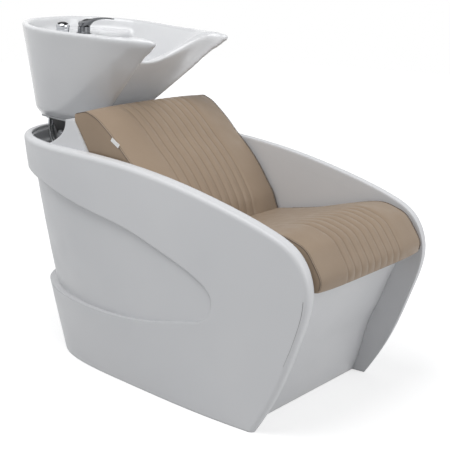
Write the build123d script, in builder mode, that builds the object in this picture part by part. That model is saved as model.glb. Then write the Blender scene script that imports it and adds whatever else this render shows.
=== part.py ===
from build123d import *
import os
from math import cos, hypot, radians, sin, tan

os.makedirs("parts", exist_ok=True)

# A salon hair washing unit: a moulded seat body with an upholstered seat and back,
# and a ceramic basin that tilts on a steel post behind the sitter's neck.
# X runs across the seat, the sitter faces -Y, and Z is up from the floor.

# Overall sizes of the body, in millimetres
body_width = 620
body_length = 1256
collar_height = 705
seat_overhang = 16

# Walls and gaps
skin_wall = 8
inner_wall = 5
liner_wall = 6
rim_width = 33
rim_depth = 40
rim_round = 12
recess_front_depth = 5
recess_back_depth = 25
cut_overrun = 60
seat_gap = 0.3
running_gap = 0.05
bolt_gap = 0.3

half_width = body_width / 2
nose_y = -(body_length + seat_overhang) / 2 + seat_overhang
collar_back_y = nose_y + body_length
cabin_half = half_width - rim_width


def station(share):
    """Y of a point at a share of the body's length behind the rim's nose."""
    return nose_y + body_length * share


def level(share):
    """Z of a point at a share of the collar's height."""
    return collar_height * share


def side_points(shares):
    """Points of a side view, from shares of the body's length and the collar's height."""
    return [(station(s), level(h)) for s, h in shares]


def moved_along_normal(points, amount, amount_shares=None):
    """Points of an outline, each moved to the left of the outline's run by an amount."""
    moved = []
    last = len(points) - 1
    for index, point in enumerate(points):
        before = points[max(index - 1, 0)]
        after = points[min(index + 1, last)]
        run = (after[0] - before[0], after[1] - before[1])
        size = hypot(*run)
        step = amount if amount_shares is None else amount * amount_shares[index]
        moved.append((point[0] - run[1] / size * step, point[1] + run[0] / size * step))
    return moved


def slope_plane(front, back):
    """A plane on a line of the side view: local Y runs from front to back, local Z is up."""
    run = (back[0] - front[0], back[1] - front[1])
    return Plane(origin=(0, front[0], front[1]), x_dir=(1, 0, 0), z_dir=(0, -run[1], run[0]))


def finish(built, name):
    """Names a finished piece and writes its file."""
    built.part.label = name
    export_step(built.part, "parts/" + name + ".step")


# The body's plan outlines, from the floor to above the collar. Each row holds the
# share of the half width at one station, and the last point is the middle of the back.
outline_height_shares = (0, 0.305, 0.64, 1.15)
outline_station_shares = (
    (-0.06, 0.30, 0.56, 0.74, 0.82, 0.880, 0.905),
    (-0.06, 0.30, 0.56, 0.74, 0.84, 0.915, 0.945),
    (-0.06, 0.30, 0.56, 0.74, 0.865, 0.945, 0.980),
    (-0.06, 0.30, 0.56, 0.74, 0.87, 0.965, 1.0),
)
outline_width_shares = (
    (0.950, 0.910, 0.775, 0.640, 0.510, 0.300, 0),
    (0.970, 0.955, 0.880, 0.755, 0.600, 0.350, 0),
    (0.990, 0.990, 0.965, 0.885, 0.680, 0.400, 0),
    (1.0, 1.0, 1.0, 0.980, 0.805, 0.450, 0),
)
outline_side_shares = (1.0, 1.0, 0.98, 0.93, 0.75, 0.42, 0)
outline_rear_shares = (0, 0, 0.2, 0.37, 0.66, 0.90, 1.0)
inset_growth_shares = (0, 0.1, 0.45, 0.7, 0.9, 1.0, 1.0)


def outline_points(row, front_inset, back_inset):
    """One plan outline of the body, drawn in by an inset that grows to the back."""
    points = []
    for index, width_share in enumerate(outline_width_shares[row]):
        inset = front_inset + (back_inset - front_inset) * inset_growth_shares[index]
        x = half_width * width_share - inset * outline_side_shares[index]
        y = station(outline_station_shares[row][index]) - inset * outline_rear_shares[index]
        points.append((x, y))
    return points


def lofted_body(front_inset, back_inset):
    """The body's full form, lofted through its outlines and mirrored."""
    with BuildPart() as form:
        for row, height_share in enumerate(outline_height_shares):
            points = outline_points(row, front_inset, back_inset)
            with BuildSketch(Plane.XY.offset(level(height_share))):
                with BuildLine():
                    Spline(*points, tangents=((0, 1), (-1, 0)))
                    Polyline(points[-1], (0, points[0][1]), points[0])
                make_face()
        loft()
        mirror(about=Plane.YZ)
    return form.part


# The rim in side view: up the front edge of the foot, round the nose and back to the collar
rim_shares = (
    (0.144, 0),
    (0.074, 0.206),
    (0.024, 0.423),
    (0, 0.613),
    (0.032, 0.738),
    (0.093, 0.800),
    (0.2086, 0.865),
    (0.350, 0.925),
    (0.5016, 0.967),
    (0.704, 0.993),
    (1.0, 1.0),
)
rim_points = side_points(rim_shares)
under_rim_points = moved_along_normal(rim_points, -rim_depth)
under_rim_points[0] = (under_rim_points[0][0], 0)


def below_rim(points, curved=True):
    """A full-width slab of everything below and behind a rim line."""
    back = collar_back_y + cut_overrun
    with BuildPart() as slab:
        with BuildSketch(Plane.YZ):
            with BuildLine():
                if curved:
                    Spline(*points)
                else:
                    Polyline(*points)
                Polyline(points[-1], (back, points[-1][1]), (back, 0), points[0])
            make_face()
        extrude(amount=half_width + cut_overrun, both=True)
    return slab.part


# The steel frame's bars and where they lie
bar_size = 30
bar_wall = 3
bar_lift = 20
front_bar_y = station(0.219)
mid_bar_y = station(0.426)
rear_bar_y = station(0.840)
front_bar_z = bar_lift
mid_bar_z = bar_lift + bar_size + seat_gap
bar_half_length = 240
screw_radius = 3
screw_head_radius = 6
screw_head_height = 4
block_height = 16
block_inner_x = bar_half_length - bar_size * 0.75
block_screw_x = (block_inner_x + bar_half_length) / 2
block_screw_places = [(x, y) for x in (-block_screw_x, block_screw_x) for y in (front_bar_y, mid_bar_y)]

# The leaf-shaped recess that wraps the sides and the back, in side view
leaf_shares = (
    (1.05, 0.812),
    (0.756, 0.813),
    (0.637, 0.760),
    (0.498, 0.708),
    (0.380, 0.636),
    (0.295, 0.572),
    (0.250, 0.494),
    (0.262, 0.425),
    (0.330, 0.375),
    (0.420, 0.340),
    (0.560, 0.308),
    (0.735, 0.305),
    (1.05, 0.33),
)
leaf_points = side_points(leaf_shares)

# The centre liner in side view: kick panel, seat pan, back rest and the fin behind it
kick_shares = (
    (0.1775, 0),
    (0.1537, 0.123),
    (0.1338, 0.245),
    (0.1075, 0.345),
    (0.0828, 0.451),
    (0.0637, 0.526),
    (0.0518, 0.5745),
)
kick_points = side_points(kick_shares)
pan_front = (station(0.058), level(0.5815))
pan_back = (station(0.470), level(0.528))
rest_foot = (station(0.4857), level(0.539))
fin_height = 783
fin_thickness = 32
fin_back_drop = 2
rest_top = (station(0.6744), fin_height)
fin_back = (rest_top[0] + fin_thickness, fin_height - fin_back_drop)
fin_points = [fin_back] + side_points(((0.7197, 1.038), (0.7373, 1.0185), (0.7650, 0.997)))
shelf_back = (station(0.7785), level(0.990))
well_lip = (shelf_back[0], level(0.885))
fin_curve = [*fin_points, shelf_back]
cheek_foot_share = 0.605
cheek_foot = (
    rest_foot[0] + (rest_top[0] - rest_foot[0]) * cheek_foot_share,
    rest_foot[1] + (rest_top[1] - rest_foot[1]) * cheek_foot_share,
)
pan_plane = slope_plane(pan_front, pan_back)
rest_plane = slope_plane(rest_foot, rest_top)


# The open space between the arms and inside the collar
collar_bend_y = station(0.6815)
collar_wall = 31
cabin_back_radius = collar_back_y - collar_wall - collar_bend_y


def cabin_form(half, back_radius, region):
    """The space inside the rim, of a given half width, kept to a region of the side view."""
    with BuildPart() as space:
        with BuildSketch():
            front = nose_y - cut_overrun
            with BuildLine():
                EllipticalCenterArc((0, collar_bend_y), half, back_radius, 0, arc_size=180)
                Polyline((-half, collar_bend_y), (-half, front), (half, front), (half, collar_bend_y))
            make_face()
        extrude(amount=fin_height + cut_overrun)
        with BuildSketch(Plane.YZ):
            with BuildLine():
                Polyline(*region, close=True)
            make_face()
        extrude(amount=half, both=True, mode=Mode.INTERSECT)
    return space.part


sky = fin_height + cut_overrun
front_edge = nose_y - cut_overrun
well_floor = collar_height - rim_depth * 1.5
cabin_region = [(front_edge, 0), *kick_points, pan_front, pan_back]
cabin_region += [(shelf_back[0], well_floor), (collar_back_y, well_floor)]
cabin_region += [(collar_back_y, sky), (front_edge, sky)]
side_wall_overlap = 14
wall_points = [*kick_points[:-1], pan_front, pan_back, rest_foot, rest_top]
wall_line = moved_along_normal(wall_points, -side_wall_overlap)
wall_line[0] = (wall_line[0][0], 0)
whole_region = [(front_edge, 0), (collar_back_y, 0), (collar_back_y, sky), (front_edge, sky)]
wall_region = [(front_edge, 0), *wall_line, (rest_top[0], sky), (front_edge, sky)]


def leaf_recess():
    """What is taken off the flanks and the back for the leaf-shaped recess."""
    with BuildPart() as leaf:
        with BuildSketch(Plane.YZ):
            with BuildLine():
                Spline(*leaf_points)
                Line(leaf_points[-1], leaf_points[0])
            make_face()
        extrude(amount=half_width + cut_overrun, both=True)
        add(lofted_body(recess_front_depth, recess_back_depth), mode=Mode.SUBTRACT)
    return leaf.part


def body_hollow(extra):
    """The hollow behind the outer skin and under the rolled rim."""
    with BuildPart() as hollow:
        add(lofted_body(recess_front_depth + extra, recess_back_depth + extra))
        add(below_rim(under_rim_points, curved=False), mode=Mode.INTERSECT)
    return hollow.part


def inner_side_walls():
    """The inner faces of the two arms, from the rim down to the liner."""
    with BuildPart() as walls:
        add(cabin_form(cabin_half + inner_wall, cabin_back_radius, wall_region))
        with BuildSketch(Plane.XY):
            Rectangle(cabin_half * 2, body_length * 3)
        extrude(amount=sky, mode=Mode.SUBTRACT)
        add(below_rim(rim_points), mode=Mode.INTERSECT)
        add(lofted_body(0, recess_back_depth), mode=Mode.INTERSECT)
    return walls.part


def landing_blocks():
    """Four blocks inside the skin that rest on the ends of the crossbars."""
    with BuildPart() as blocks:
        for y, z in ((front_bar_y, front_bar_z + bar_size), (mid_bar_y, mid_bar_z + bar_size)):
            with Locations((0, y, z + seat_gap)):
                Box(body_width, bar_size, block_height, align=(Align.CENTER, Align.CENTER, Align.MIN))
        add(lofted_body(recess_front_depth, recess_back_depth), mode=Mode.INTERSECT)
        with Locations((0, mid_bar_y, 0)):
            Box(block_inner_x * 2, body_length, body_length, mode=Mode.SUBTRACT)
        for x, y in block_screw_places:
            with Locations((x, y, 0)):
                Cylinder(screw_radius + bolt_gap, body_length, mode=Mode.SUBTRACT)
    return blocks.part


# Outer shell: an open moulding with a rolled rim, a recessed flank and inner side walls
with BuildPart() as outer_shell:
    add(lofted_body(0, 0))
    add(below_rim(rim_points), mode=Mode.INTERSECT)
    fillet([e for e in outer_shell.edges() if e.length > body_length and (e @ 0.5).X], rim_round)
    add(leaf_recess(), mode=Mode.SUBTRACT)
    add(body_hollow(skin_wall), mode=Mode.SUBTRACT)
    add(cabin_form(cabin_half, cabin_back_radius, cabin_region), mode=Mode.SUBTRACT)
    add(inner_side_walls())
    add(landing_blocks())
finish(outer_shell, "outer_shell")

# Boards and the bolts that hold the cushions, placed on the pan and the rest
board_thickness = 12
board_inset = 34
bolt_radius = 4
bolt_head_radius = 7
bolt_head_height = 5
pan_length = hypot(pan_back[0] - pan_front[0], pan_back[1] - pan_front[1])
rest_length = hypot(rest_top[0] - rest_foot[0], rest_top[1] - rest_foot[1])
seat_end_y = station(0.3765)
seat_run = (seat_end_y - pan_front[0]) * pan_length / (pan_back[0] - pan_front[0])
seat_board_length = seat_run - board_inset * 1.6
rest_board_length = rest_length - board_inset * 3
seat_board_middle = board_inset * 1.5 + seat_board_length / 2
rest_board_middle = rest_length - board_inset * 1.2 - rest_board_length / 2


def four_places(middle, length):
    """Four bolt places about the middle of a board."""
    return [(x, middle + y) for x in (-cabin_half / 2, cabin_half / 2) for y in (-length / 4, length / 4)]


def board(plane, length, middle, extra):
    """A plywood board with rounded corners, or the pocket for it when extra is given."""
    with BuildPart() as plate:
        with BuildSketch(plane.offset(seat_gap - extra)):
            with Locations((0, middle)):
                RectangleRounded((cabin_half - board_inset + extra) * 2, length + extra * 2, board_inset)
        extrude(amount=board_thickness + extra * 2)
    return plate.part


def bolt_holes(plane, length, middle):
    """The four holes through a board and the liner under it."""
    with BuildPart() as holes:
        with BuildSketch(plane.offset(-liner_wall * 2)):
            with Locations(*four_places(middle, length)):
                Circle(bolt_radius + bolt_gap)
        extrude(amount=liner_wall * 2 + board_thickness + seat_gap)
    return holes.part


def board_bolts(plane, length, middle):
    """Four bolts from under the liner, up into a board."""
    with BuildPart() as bolts:
        with BuildSketch(plane.offset(-liner_wall - seat_gap)):
            with Locations(*four_places(middle, length)):
                Circle(bolt_head_radius)
        extrude(amount=-bolt_head_height)
        with BuildSketch(plane.offset(-liner_wall - seat_gap)):
            with Locations(*four_places(middle, length)):
                Circle(bolt_radius)
        extrude(amount=liner_wall + board_thickness)
    return bolts.part


def fin_cheeks():
    """The two walls that close the ends of the fin, along the inner faces of the arms."""
    with BuildPart() as cheeks:
        with BuildSketch(Plane.YZ):
            with BuildLine():
                Polyline(fin_curve[0], rest_top, cheek_foot, well_lip, shelf_back)
                Spline(*fin_curve)
            make_face()
        extrude(amount=cabin_half, both=True)
        inner = seat_gap + liner_wall
        add(cabin_form(cabin_half - inner, cabin_back_radius - inner, whole_region), mode=Mode.SUBTRACT)
    return cheeks.part


# Centre liner: one moulded sheet with the kick panel, the seat pan and the fin
with BuildPart() as centre_liner:
    with BuildSketch(Plane.YZ):
        with BuildLine():
            kick_back = moved_along_normal(kick_points, -liner_wall)
            kick_back[0] = (kick_back[0][0], 0)
            Spline(*kick_points)
            Line(kick_points[-1], kick_back[-1])
            Spline(*kick_back)
            Line(kick_back[0], kick_points[0])
        make_face()
        with BuildLine():
            sheet_front = [kick_points[-1], pan_front, pan_back, rest_foot, rest_top]
            sheet_top = [*sheet_front, *fin_curve, well_lip]
            sheet_under = moved_along_normal(sheet_top, -liner_wall)
            fin_start = len(sheet_front)
            for side in (sheet_top, sheet_under):
                Polyline(*side[:fin_start + 1])
                Spline(*side[fin_start:-1])
                Line(*side[-2:])
            Line(sheet_top[0], sheet_under[0])
            Line(sheet_top[-1], sheet_under[-1])
        make_face()
    extrude(amount=cabin_half - seat_gap, both=True)
    add(fin_cheeks())
    add(bolt_holes(pan_plane, seat_board_length, seat_board_middle), mode=Mode.SUBTRACT)
    add(bolt_holes(rest_plane, rest_board_length, rest_board_middle), mode=Mode.SUBTRACT)
    add(lofted_body(recess_front_depth + skin_wall + seat_gap, recess_back_depth + skin_wall + seat_gap),
        mode=Mode.INTERSECT)
    add(cabin_form(cabin_half - seat_gap, cabin_back_radius - seat_gap, whole_region), mode=Mode.INTERSECT)
finish(centre_liner, "centre_liner")

with BuildPart() as seat_board:
    add(board(pan_plane, seat_board_length, seat_board_middle, 0))
    add(bolt_holes(pan_plane, seat_board_length, seat_board_middle), mode=Mode.SUBTRACT)
finish(seat_board, "seat_board")
with BuildPart() as back_board:
    add(board(rest_plane, rest_board_length, rest_board_middle, 0))
    add(bolt_holes(rest_plane, rest_board_length, rest_board_middle), mode=Mode.SUBTRACT)
finish(back_board, "back_board")
with BuildPart() as seat_bolts:
    add(board_bolts(pan_plane, seat_board_length, seat_board_middle))
finish(seat_bolts, "seat_bolts")
with BuildPart() as back_bolts:
    add(board_bolts(rest_plane, rest_board_length, rest_board_middle))
finish(back_bolts, "back_bolts")

# Upholstery: each cushion is lofted across its width through five side profiles,
# crowned in the middle, drawn in along its sides and sewn into channels.
cushion_side_gap = 5
cushion_half = cabin_half - cushion_side_gap
cushion_crown = 9
cushion_draw = 5
channel_count = 9
channel_pitch = 35
channel_width = 3
channel_depth = 4
cushion_slices = ((-1, 0), (-0.78, 0.72), (0, 1), (0.78, 0.72), (1, 0))


def arc_chain(points):
    """Arcs through every three points of a profile, end to end."""
    for index in range(0, len(points) - 2, 2):
        ThreePointArc(*points[index:index + 3])


def cushion_form(top, crown_shares, under):
    """A crowned cushion between its top profile and its straight underside."""
    with BuildPart() as pad:
        for across, crown_share in cushion_slices:
            crowned = moved_along_normal(top, cushion_crown * crown_share, crown_shares)
            with BuildSketch(Plane.YZ.offset(cushion_half * across)):
                with BuildLine():
                    arc_chain(crowned)
                    Polyline(crowned[-1], *under, crowned[0])
                make_face()
        loft()
    return pad.part


def channels(top, crown_shares, depth_shares):
    """The grooves sewn into a cushion along its profile."""
    count = len(depth_shares)
    crowned = moved_along_normal(top, cushion_crown, crown_shares)[:count]
    groove_floor = moved_along_normal(crowned, -channel_depth, depth_shares)
    groove_lid = moved_along_normal(crowned, cushion_crown)
    with BuildPart() as grooves:
        for index in range(channel_count):
            x = (index - (channel_count - 1) / 2) * channel_pitch
            with BuildSketch(Plane.YZ.offset(x - channel_width / 2)):
                with BuildLine():
                    arc_chain(groove_floor)
                    Line(groove_floor[-1], groove_lid[-1])
                    Polyline(*groove_lid)
                    Line(groove_lid[0], groove_floor[0])
                make_face()
            extrude(amount=channel_width)
    return grooves.part


def drawn_in_plan(front, back):
    """The plan of a cushion whose sides are drawn in between its corners."""
    middle = (front + back) / 2
    waist = cushion_half - cushion_draw
    with BuildPart() as plan:
        with BuildSketch():
            with BuildLine():
                ThreePointArc((cushion_half, front), (waist, middle), (cushion_half, back))
                Line((cushion_half, back), (-cushion_half, back))
                ThreePointArc((-cushion_half, back), (-waist, middle), (-cushion_half, front))
                Line((-cushion_half, front), (cushion_half, front))
            make_face()
        extrude(amount=sky + cut_overrun)
    return plan.part


def above(plane, y, lift):
    """A side-view point over a sloping plane, at a station."""
    origin, normal = plane.origin, plane.z_dir
    z = origin.Z + (lift - (y - origin.Y) * normal.Y) / normal.Z
    return (y, z)


# Seat cushion, from its front lower edge over the nose and back to the crease
seat_top = side_points((
    (-0.0010, 0.593),
    (-0.0045, 0.6400),
    (0.0140, 0.6993),
    (0.0330, 0.7430),
    (0.0600, 0.7665),
    (0.1000, 0.7816),
    (0.1600, 0.7640),
    (0.2600, 0.7190),
    (0.3960, 0.6766),
))
seat_crown_shares = (1.0, 1.0, 1.0, 1.0, 1.0, 1.0, 1.0, 0.9, 0.1)
seat_channel_shares = (1.0, 1.0, 1.0, 1.0, 1.0, 0.7, -0.2)
seat_lip_y = pan_front[0] - liner_wall * 2
seat_under = [above(pan_plane, seat_end_y, seat_gap), above(pan_plane, pan_front[0], seat_gap)]
seat_under += [(seat_lip_y, seat_top[0][1])]
with BuildPart() as seat_cushion:
    add(cushion_form(seat_top, seat_crown_shares, seat_under))
    add(drawn_in_plan(nose_y - cut_overrun, station(0.42)), mode=Mode.INTERSECT)
    add(channels(seat_top, seat_crown_shares, seat_channel_shares), mode=Mode.SUBTRACT)
    add(board(pan_plane, seat_board_length, seat_board_middle, seat_gap), mode=Mode.SUBTRACT)
finish(seat_cushion, "seat_cushion")

# Back cushion, from the crease up the front and over the top
back_top = side_points((
    (0.3790, 0.5420),
    (0.3975, 0.6809),
    (0.4075, 0.7645),
    (0.4403, 0.8638),
    (0.4785, 0.9461),
    (0.5167, 1.0113),
    (0.5557, 1.0823),
    (0.5971, 1.1400),
    (0.6350, 1.1630),
    (0.6600, 1.1500),
    (0.6730, 1.1200),
))
back_crown_shares = (0, 0, 0.6, 1.0, 1.0, 1.0, 1.0, 1.0, 1.0, 0.7, 0)
back_channel_shares = (0.8, 1.0, 1.0, 1.0, 1.0, 1.0, 1.0, 1.0, 1.0)
back_under = [above(rest_plane, rest_top[0] - liner_wall * 0.5, seat_gap)]
back_under += [above(rest_plane, rest_foot[0] + liner_wall, seat_gap)]
back_top[0] = above(pan_plane, back_top[0][0], seat_gap * 4)
back_top[-1] = above(rest_plane, rest_top[0] + liner_wall * 0.5, liner_wall)
with BuildPart() as back_cushion:
    add(cushion_form(back_top, back_crown_shares, back_under))
    add(drawn_in_plan(station(0.3), station(0.8)), mode=Mode.INTERSECT)
    add(channels(back_top, back_crown_shares, back_channel_shares), mode=Mode.SUBTRACT)
    add(board(rest_plane, rest_board_length, rest_board_middle, seat_gap), mode=Mode.SUBTRACT)
finish(back_cushion, "back_cushion")

# Blank sewn tag on the back cushion's side
tag_width = 34
tag_height = 12
tag_thickness = 0.8
tag_turn = 33
tag_y = station(0.5485)
tag_z = level(1.037)
with BuildPart() as side_tag:
    with BuildSketch(Plane.YZ.offset(cushion_draw - cushion_half - seat_gap)):
        with Locations(Location((tag_y, tag_z, 0), (0, 0, 1), tag_turn)):
            RectangleRounded(tag_width, tag_height, tag_thickness * 2)
    extrude(amount=-tag_thickness)
finish(side_tag, "side_tag")

# Steel frame under the seat
foot_radius = 14
foot_height = 8
stem_radius = 5
nut_radius = 9
nut_height = 8
floor_hole_x = 42
front_foot_x = 200
rear_foot_x = 64
rear_bar_half = 78
rear_bar_width = 50
rail_x = 68
rail_front_y = front_bar_y + bar_size / 2 + seat_gap
rail_back_y = rear_bar_y - rear_bar_width / 2 - seat_gap
foot_places = [(x, front_bar_y) for x in (-front_foot_x, front_foot_x)]
foot_places += [(x, rear_bar_y) for x in (-rear_foot_x, rear_foot_x)]


def tube(plane, width, height, length):
    """A rectangular tube with open ends, from a plane through its middle."""
    with BuildPart() as bar:
        with BuildSketch(plane):
            Rectangle(width, height)
            Rectangle(width - bar_wall * 2, height - bar_wall * 2, mode=Mode.SUBTRACT)
        extrude(amount=length)
    return bar.part


def crossbar(half_length, depth, y, z, feet, screws):
    """A bar across the frame, with holes for feet, floor bolts and shell screws."""
    with BuildPart() as bar:
        add(tube(Plane(origin=(-half_length, y, z + bar_size / 2), x_dir=(0, 1, 0), z_dir=(1, 0, 0)),
                 depth, bar_size, half_length * 2))
        for x in feet:
            with Locations((x, y, z)):
                Cylinder(stem_radius + bolt_gap, bar_size * 3, mode=Mode.SUBTRACT)
        for x in screws:
            with Locations((x, y, z + bar_size)):
                Cylinder(screw_radius + bolt_gap, bar_size, mode=Mode.SUBTRACT)
    return bar.part


def rail(side):
    """A rail along one side of the frame, between the crossbars."""
    start = (side * rail_x, rail_front_y, bar_lift + bar_size / 2)
    return tube(Plane(origin=start, x_dir=(1, 0, 0), z_dir=(0, 1, 0)),
                bar_size, bar_size, rail_back_y - rail_front_y)


floor_holes = (-floor_hole_x, floor_hole_x)
front_feet = (-front_foot_x, front_foot_x)
rear_feet = (-rear_foot_x, rear_foot_x)
block_screws = (-block_screw_x, block_screw_x)
with BuildPart() as front_crossbar:
    add(crossbar(bar_half_length, bar_size, front_bar_y, front_bar_z, front_feet + floor_holes, block_screws))
finish(front_crossbar, "front_crossbar")
with BuildPart() as mid_crossbar:
    add(crossbar(bar_half_length, bar_size, mid_bar_y, mid_bar_z, (), block_screws))
finish(mid_crossbar, "mid_crossbar")
with BuildPart() as rear_crossbar:
    add(crossbar(rear_bar_half, rear_bar_width, rear_bar_y, bar_lift, rear_feet + floor_holes, ()))
finish(rear_crossbar, "rear_crossbar")
with BuildPart() as left_rail:
    add(rail(-1))
finish(left_rail, "left_rail")
with BuildPart() as right_rail:
    add(rail(1))
finish(right_rail, "right_rail")

with BuildPart() as levelling_feet:
    with BuildSketch():
        with Locations(*foot_places):
            Circle(foot_radius)
    extrude(amount=foot_height, taper=12)
    with BuildSketch():
        with Locations(*foot_places):
            Circle(stem_radius)
    extrude(amount=bar_lift + bar_size + nut_height * 1.8)
finish(levelling_feet, "levelling_feet")
with BuildPart() as foot_nuts:
    for z in (bar_lift - seat_gap - nut_height, bar_lift + bar_size + seat_gap):
        with BuildSketch(Plane.XY.offset(z)):
            with Locations(*foot_places):
                RegularPolygon(nut_radius, 6)
                Circle(stem_radius + running_gap, mode=Mode.SUBTRACT)
        extrude(amount=nut_height)
finish(foot_nuts, "foot_nuts")

with BuildPart() as shell_screws:
    for y, z in ((front_bar_y, front_bar_z), (mid_bar_y, mid_bar_z)):
        block_top = z + bar_size + seat_gap * 2 + block_height
        with BuildSketch(Plane.XY.offset(block_top)):
            with Locations((-block_screw_x, y), (block_screw_x, y)):
                Circle(screw_head_radius)
        extrude(amount=screw_head_height)
        with BuildSketch(Plane.XY.offset(block_top)):
            with Locations((-block_screw_x, y), (block_screw_x, y)):
                Circle(screw_radius)
        extrude(amount=-(block_height + bar_wall * 2.5))
finish(shell_screws, "shell_screws")

# Two stands that carry the seat pan
stand_x = 150
stand_pad_thickness = 5
stand_pad_depth = 60


def stand(y, z):
    """Two uprights on a crossbar, with a sloping pad under the seat pan."""
    under_pan = pan_plane.offset(-liner_wall - seat_gap)
    pad_top = above(under_pan, y, 0)[1]
    with BuildPart() as frame:
        with BuildSketch(Plane.XY.offset(z)):
            with Locations((-stand_x, y), (stand_x, y)):
                Rectangle(bar_size, bar_size)
                Rectangle(bar_size - bar_wall * 2, bar_size - bar_wall * 2, mode=Mode.SUBTRACT)
        extrude(amount=pad_top - stand_pad_thickness - z)
        with BuildSketch(Plane(origin=(0, y, pad_top), x_dir=(1, 0, 0), z_dir=pan_plane.z_dir)):
            Rectangle((stand_x + bar_size) * 2, stand_pad_depth)
        extrude(amount=-stand_pad_thickness * 1.6)
    return frame.part


with BuildPart() as front_stand:
    add(stand(front_bar_y, front_bar_z + bar_size + seat_gap))
finish(front_stand, "front_stand")
with BuildPart() as rear_stand:
    add(stand(mid_bar_y, mid_bar_z + bar_size + seat_gap))
finish(rear_stand, "rear_stand")

# Basin: an outline at the rim and one at the bottom, in shares of its half width and
# length. It is drawn flat, local Y back along the rim and local Z up, then pitched.
basin_half = 240
basin_length = body_length * 0.48726
basin_depth = 285
basin_pitch = 4.5
basin_front_height = 998
basin_wall = 22
basin_foot_share = 0.92
basin_foot_round = 15
rim_fillet = 6
basin_rim_shares = (
    (0.675, 0),
    (0.871, 0.229),
    (0.946, 0.425),
    (1.0, 0.62),
    (0.86, 0.82),
    (0.50, 0.965),
    (0, 1),
)
basin_bottom_shares = (
    (0.350, 0.490),
    (0.496, 0.588),
    (0.566, 0.686),
    (0.583, 0.752),
    (0.496, 0.866),
    (0.292, 0.920),
    (0, 0.9314),
)
basin_plane = Plane(origin=(0, station(0.4984), basin_front_height), x_dir=(1, 0, 0),
                    z_dir=(0, -sin(radians(basin_pitch)), cos(radians(basin_pitch))))


def on_basin(part):
    """Moves a part drawn in the basin's own flat frame to its pitched place."""
    return basin_plane.from_local_coords(part)


def basin_outline(depth_share, inset):
    """Half of the basin's outline at a share of its depth, drawn in by an inset."""
    points = []
    for rim, bottom in zip(basin_rim_shares, basin_bottom_shares):
        x_share = rim[0] + (bottom[0] - rim[0]) * depth_share
        y_share = rim[1] + (bottom[1] - rim[1]) * depth_share
        points.append((basin_half * x_share, basin_length * y_share))
    back = points[-1]
    points = moved_along_normal(points, inset)
    points[-1] = (0, back[1] - inset)
    return points


def basin_loft(slices):
    """A form lofted down the basin through slices of depth share and inset."""
    with BuildPart() as form:
        for depth_share, inset in slices:
            points = basin_outline(depth_share, inset)
            start = (points[1][0] - points[0][0], points[1][1] - points[0][1])
            with BuildSketch(Plane.XY.offset(-basin_depth * depth_share)):
                with BuildLine():
                    Spline(*points, tangents=(start, (-1, 0)))
                    Polyline(points[-1], (0, points[0][1]), points[0])
                make_face()
        loft(ruled=True)
        mirror(about=Plane.YZ)
    return form.part


# The neck scoop in the basin's front, and the dip that the neck rests in
scoop_top_half = 165
scoop_bottom_half = 60
scoop_top_reach = 105
scoop_bottom_reach = 12
scoop_shares = ((1.0, 0), (0.975, 0.42), (0.83, 0.80), (0.5, 0.965), (0, 1.0))
scoop_wall = 28
dip_depth = 83
dip_half = 154
front_foot_u = basin_length * basin_bottom_shares[0][1]


def neck_scoop(extra):
    """The scoop in the basin's front, wider at the top."""
    with BuildPart() as scoop:
        for depth_share in (-0.08, 1.05):
            half = scoop_top_half + (scoop_bottom_half - scoop_top_half) * depth_share + extra
            reach = scoop_top_reach + (scoop_bottom_reach - scoop_top_reach) * depth_share + extra
            front = front_foot_u * depth_share
            with BuildSketch(Plane.XY.offset(-basin_depth * depth_share)):
                with BuildLine():
                    Spline(*[(half * x, front + reach * y) for x, y in scoop_shares],
                           tangents=((0, 1), (-1, 0)))
                    Polyline((0, front + reach), (0, front - basin_length),
                             (half, front - basin_length), (half, front))
                make_face()
        loft(ruled=True)
        mirror(about=Plane.YZ)
    return scoop.part


def neck_dip():
    """The curved dip across the front wall."""
    with BuildPart() as dip:
        with BuildSketch(Plane.XZ.offset(cut_overrun)):
            with BuildLine():
                ThreePointArc((-dip_half, 0), (0, -dip_depth), (dip_half, 0))
                Polyline((dip_half, 0), (dip_half, cut_overrun), (-dip_half, cut_overrun), (-dip_half, 0))
            make_face()
        extrude(amount=-(cut_overrun + scoop_top_reach * 2 + scoop_wall))
    return dip.part


# The bowl's floor, the tap deck behind it, and the openings under them
bowl_depth = 190
deck_drop = 38
deck_front_u = basin_length * 0.7026
deck_thickness = 14
bowl_round = 30
deck_round = 9
pocket_half = 62
pocket_front_u = basin_length * 0.7353
pocket_back_u = basin_length * 0.9101
drain_u = basin_length * 0.5801
drain_pocket_radius = 50
floor_thickness = 16
drain_radius = 22
flange_radius = 31
flange_seat_depth = 5


def bowl_form():
    """The bowl and the tap deck's recess behind it."""
    slope = front_foot_u / basin_depth
    front = basin_wall * 1.3
    with BuildPart() as bowl:
        floor_share = bowl_depth / basin_depth
        add(basin_loft(((-0.07, basin_wall), (0.35, basin_wall), (floor_share, basin_wall * 2.4))))
        with BuildSketch(Plane.YZ):
            with BuildLine():
                Polyline((front, 0), (front + bowl_depth * slope, -bowl_depth),
                         (deck_front_u - deck_round, -bowl_depth),
                         (deck_front_u, -deck_drop), (basin_length, -deck_drop), (basin_length, cut_overrun),
                         (front, cut_overrun), close=True)
            make_face()
            soft = [v for v in vertices() if abs(v.Y + bowl_depth) < running_gap]
            fillet(soft, bowl_round)
            on_deck = [v for v in vertices() if abs(v.Y + deck_drop) < running_gap]
            crest = [v for v in on_deck if abs(v.X - deck_front_u) < deck_round]
            fillet(crest, deck_round)
        extrude(amount=basin_half, both=True, mode=Mode.INTERSECT)
        add(neck_scoop(scoop_wall), mode=Mode.SUBTRACT)
    return bowl.part


def round_tool(x, u, radius, top, bottom):
    """A cylinder between two levels of the basin's own frame, to cut with."""
    with BuildPart() as tool:
        with Locations((x, u, bottom)):
            Cylinder(radius, top - bottom, align=(Align.CENTER, Align.CENTER, Align.MIN))
    return tool.part


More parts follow.
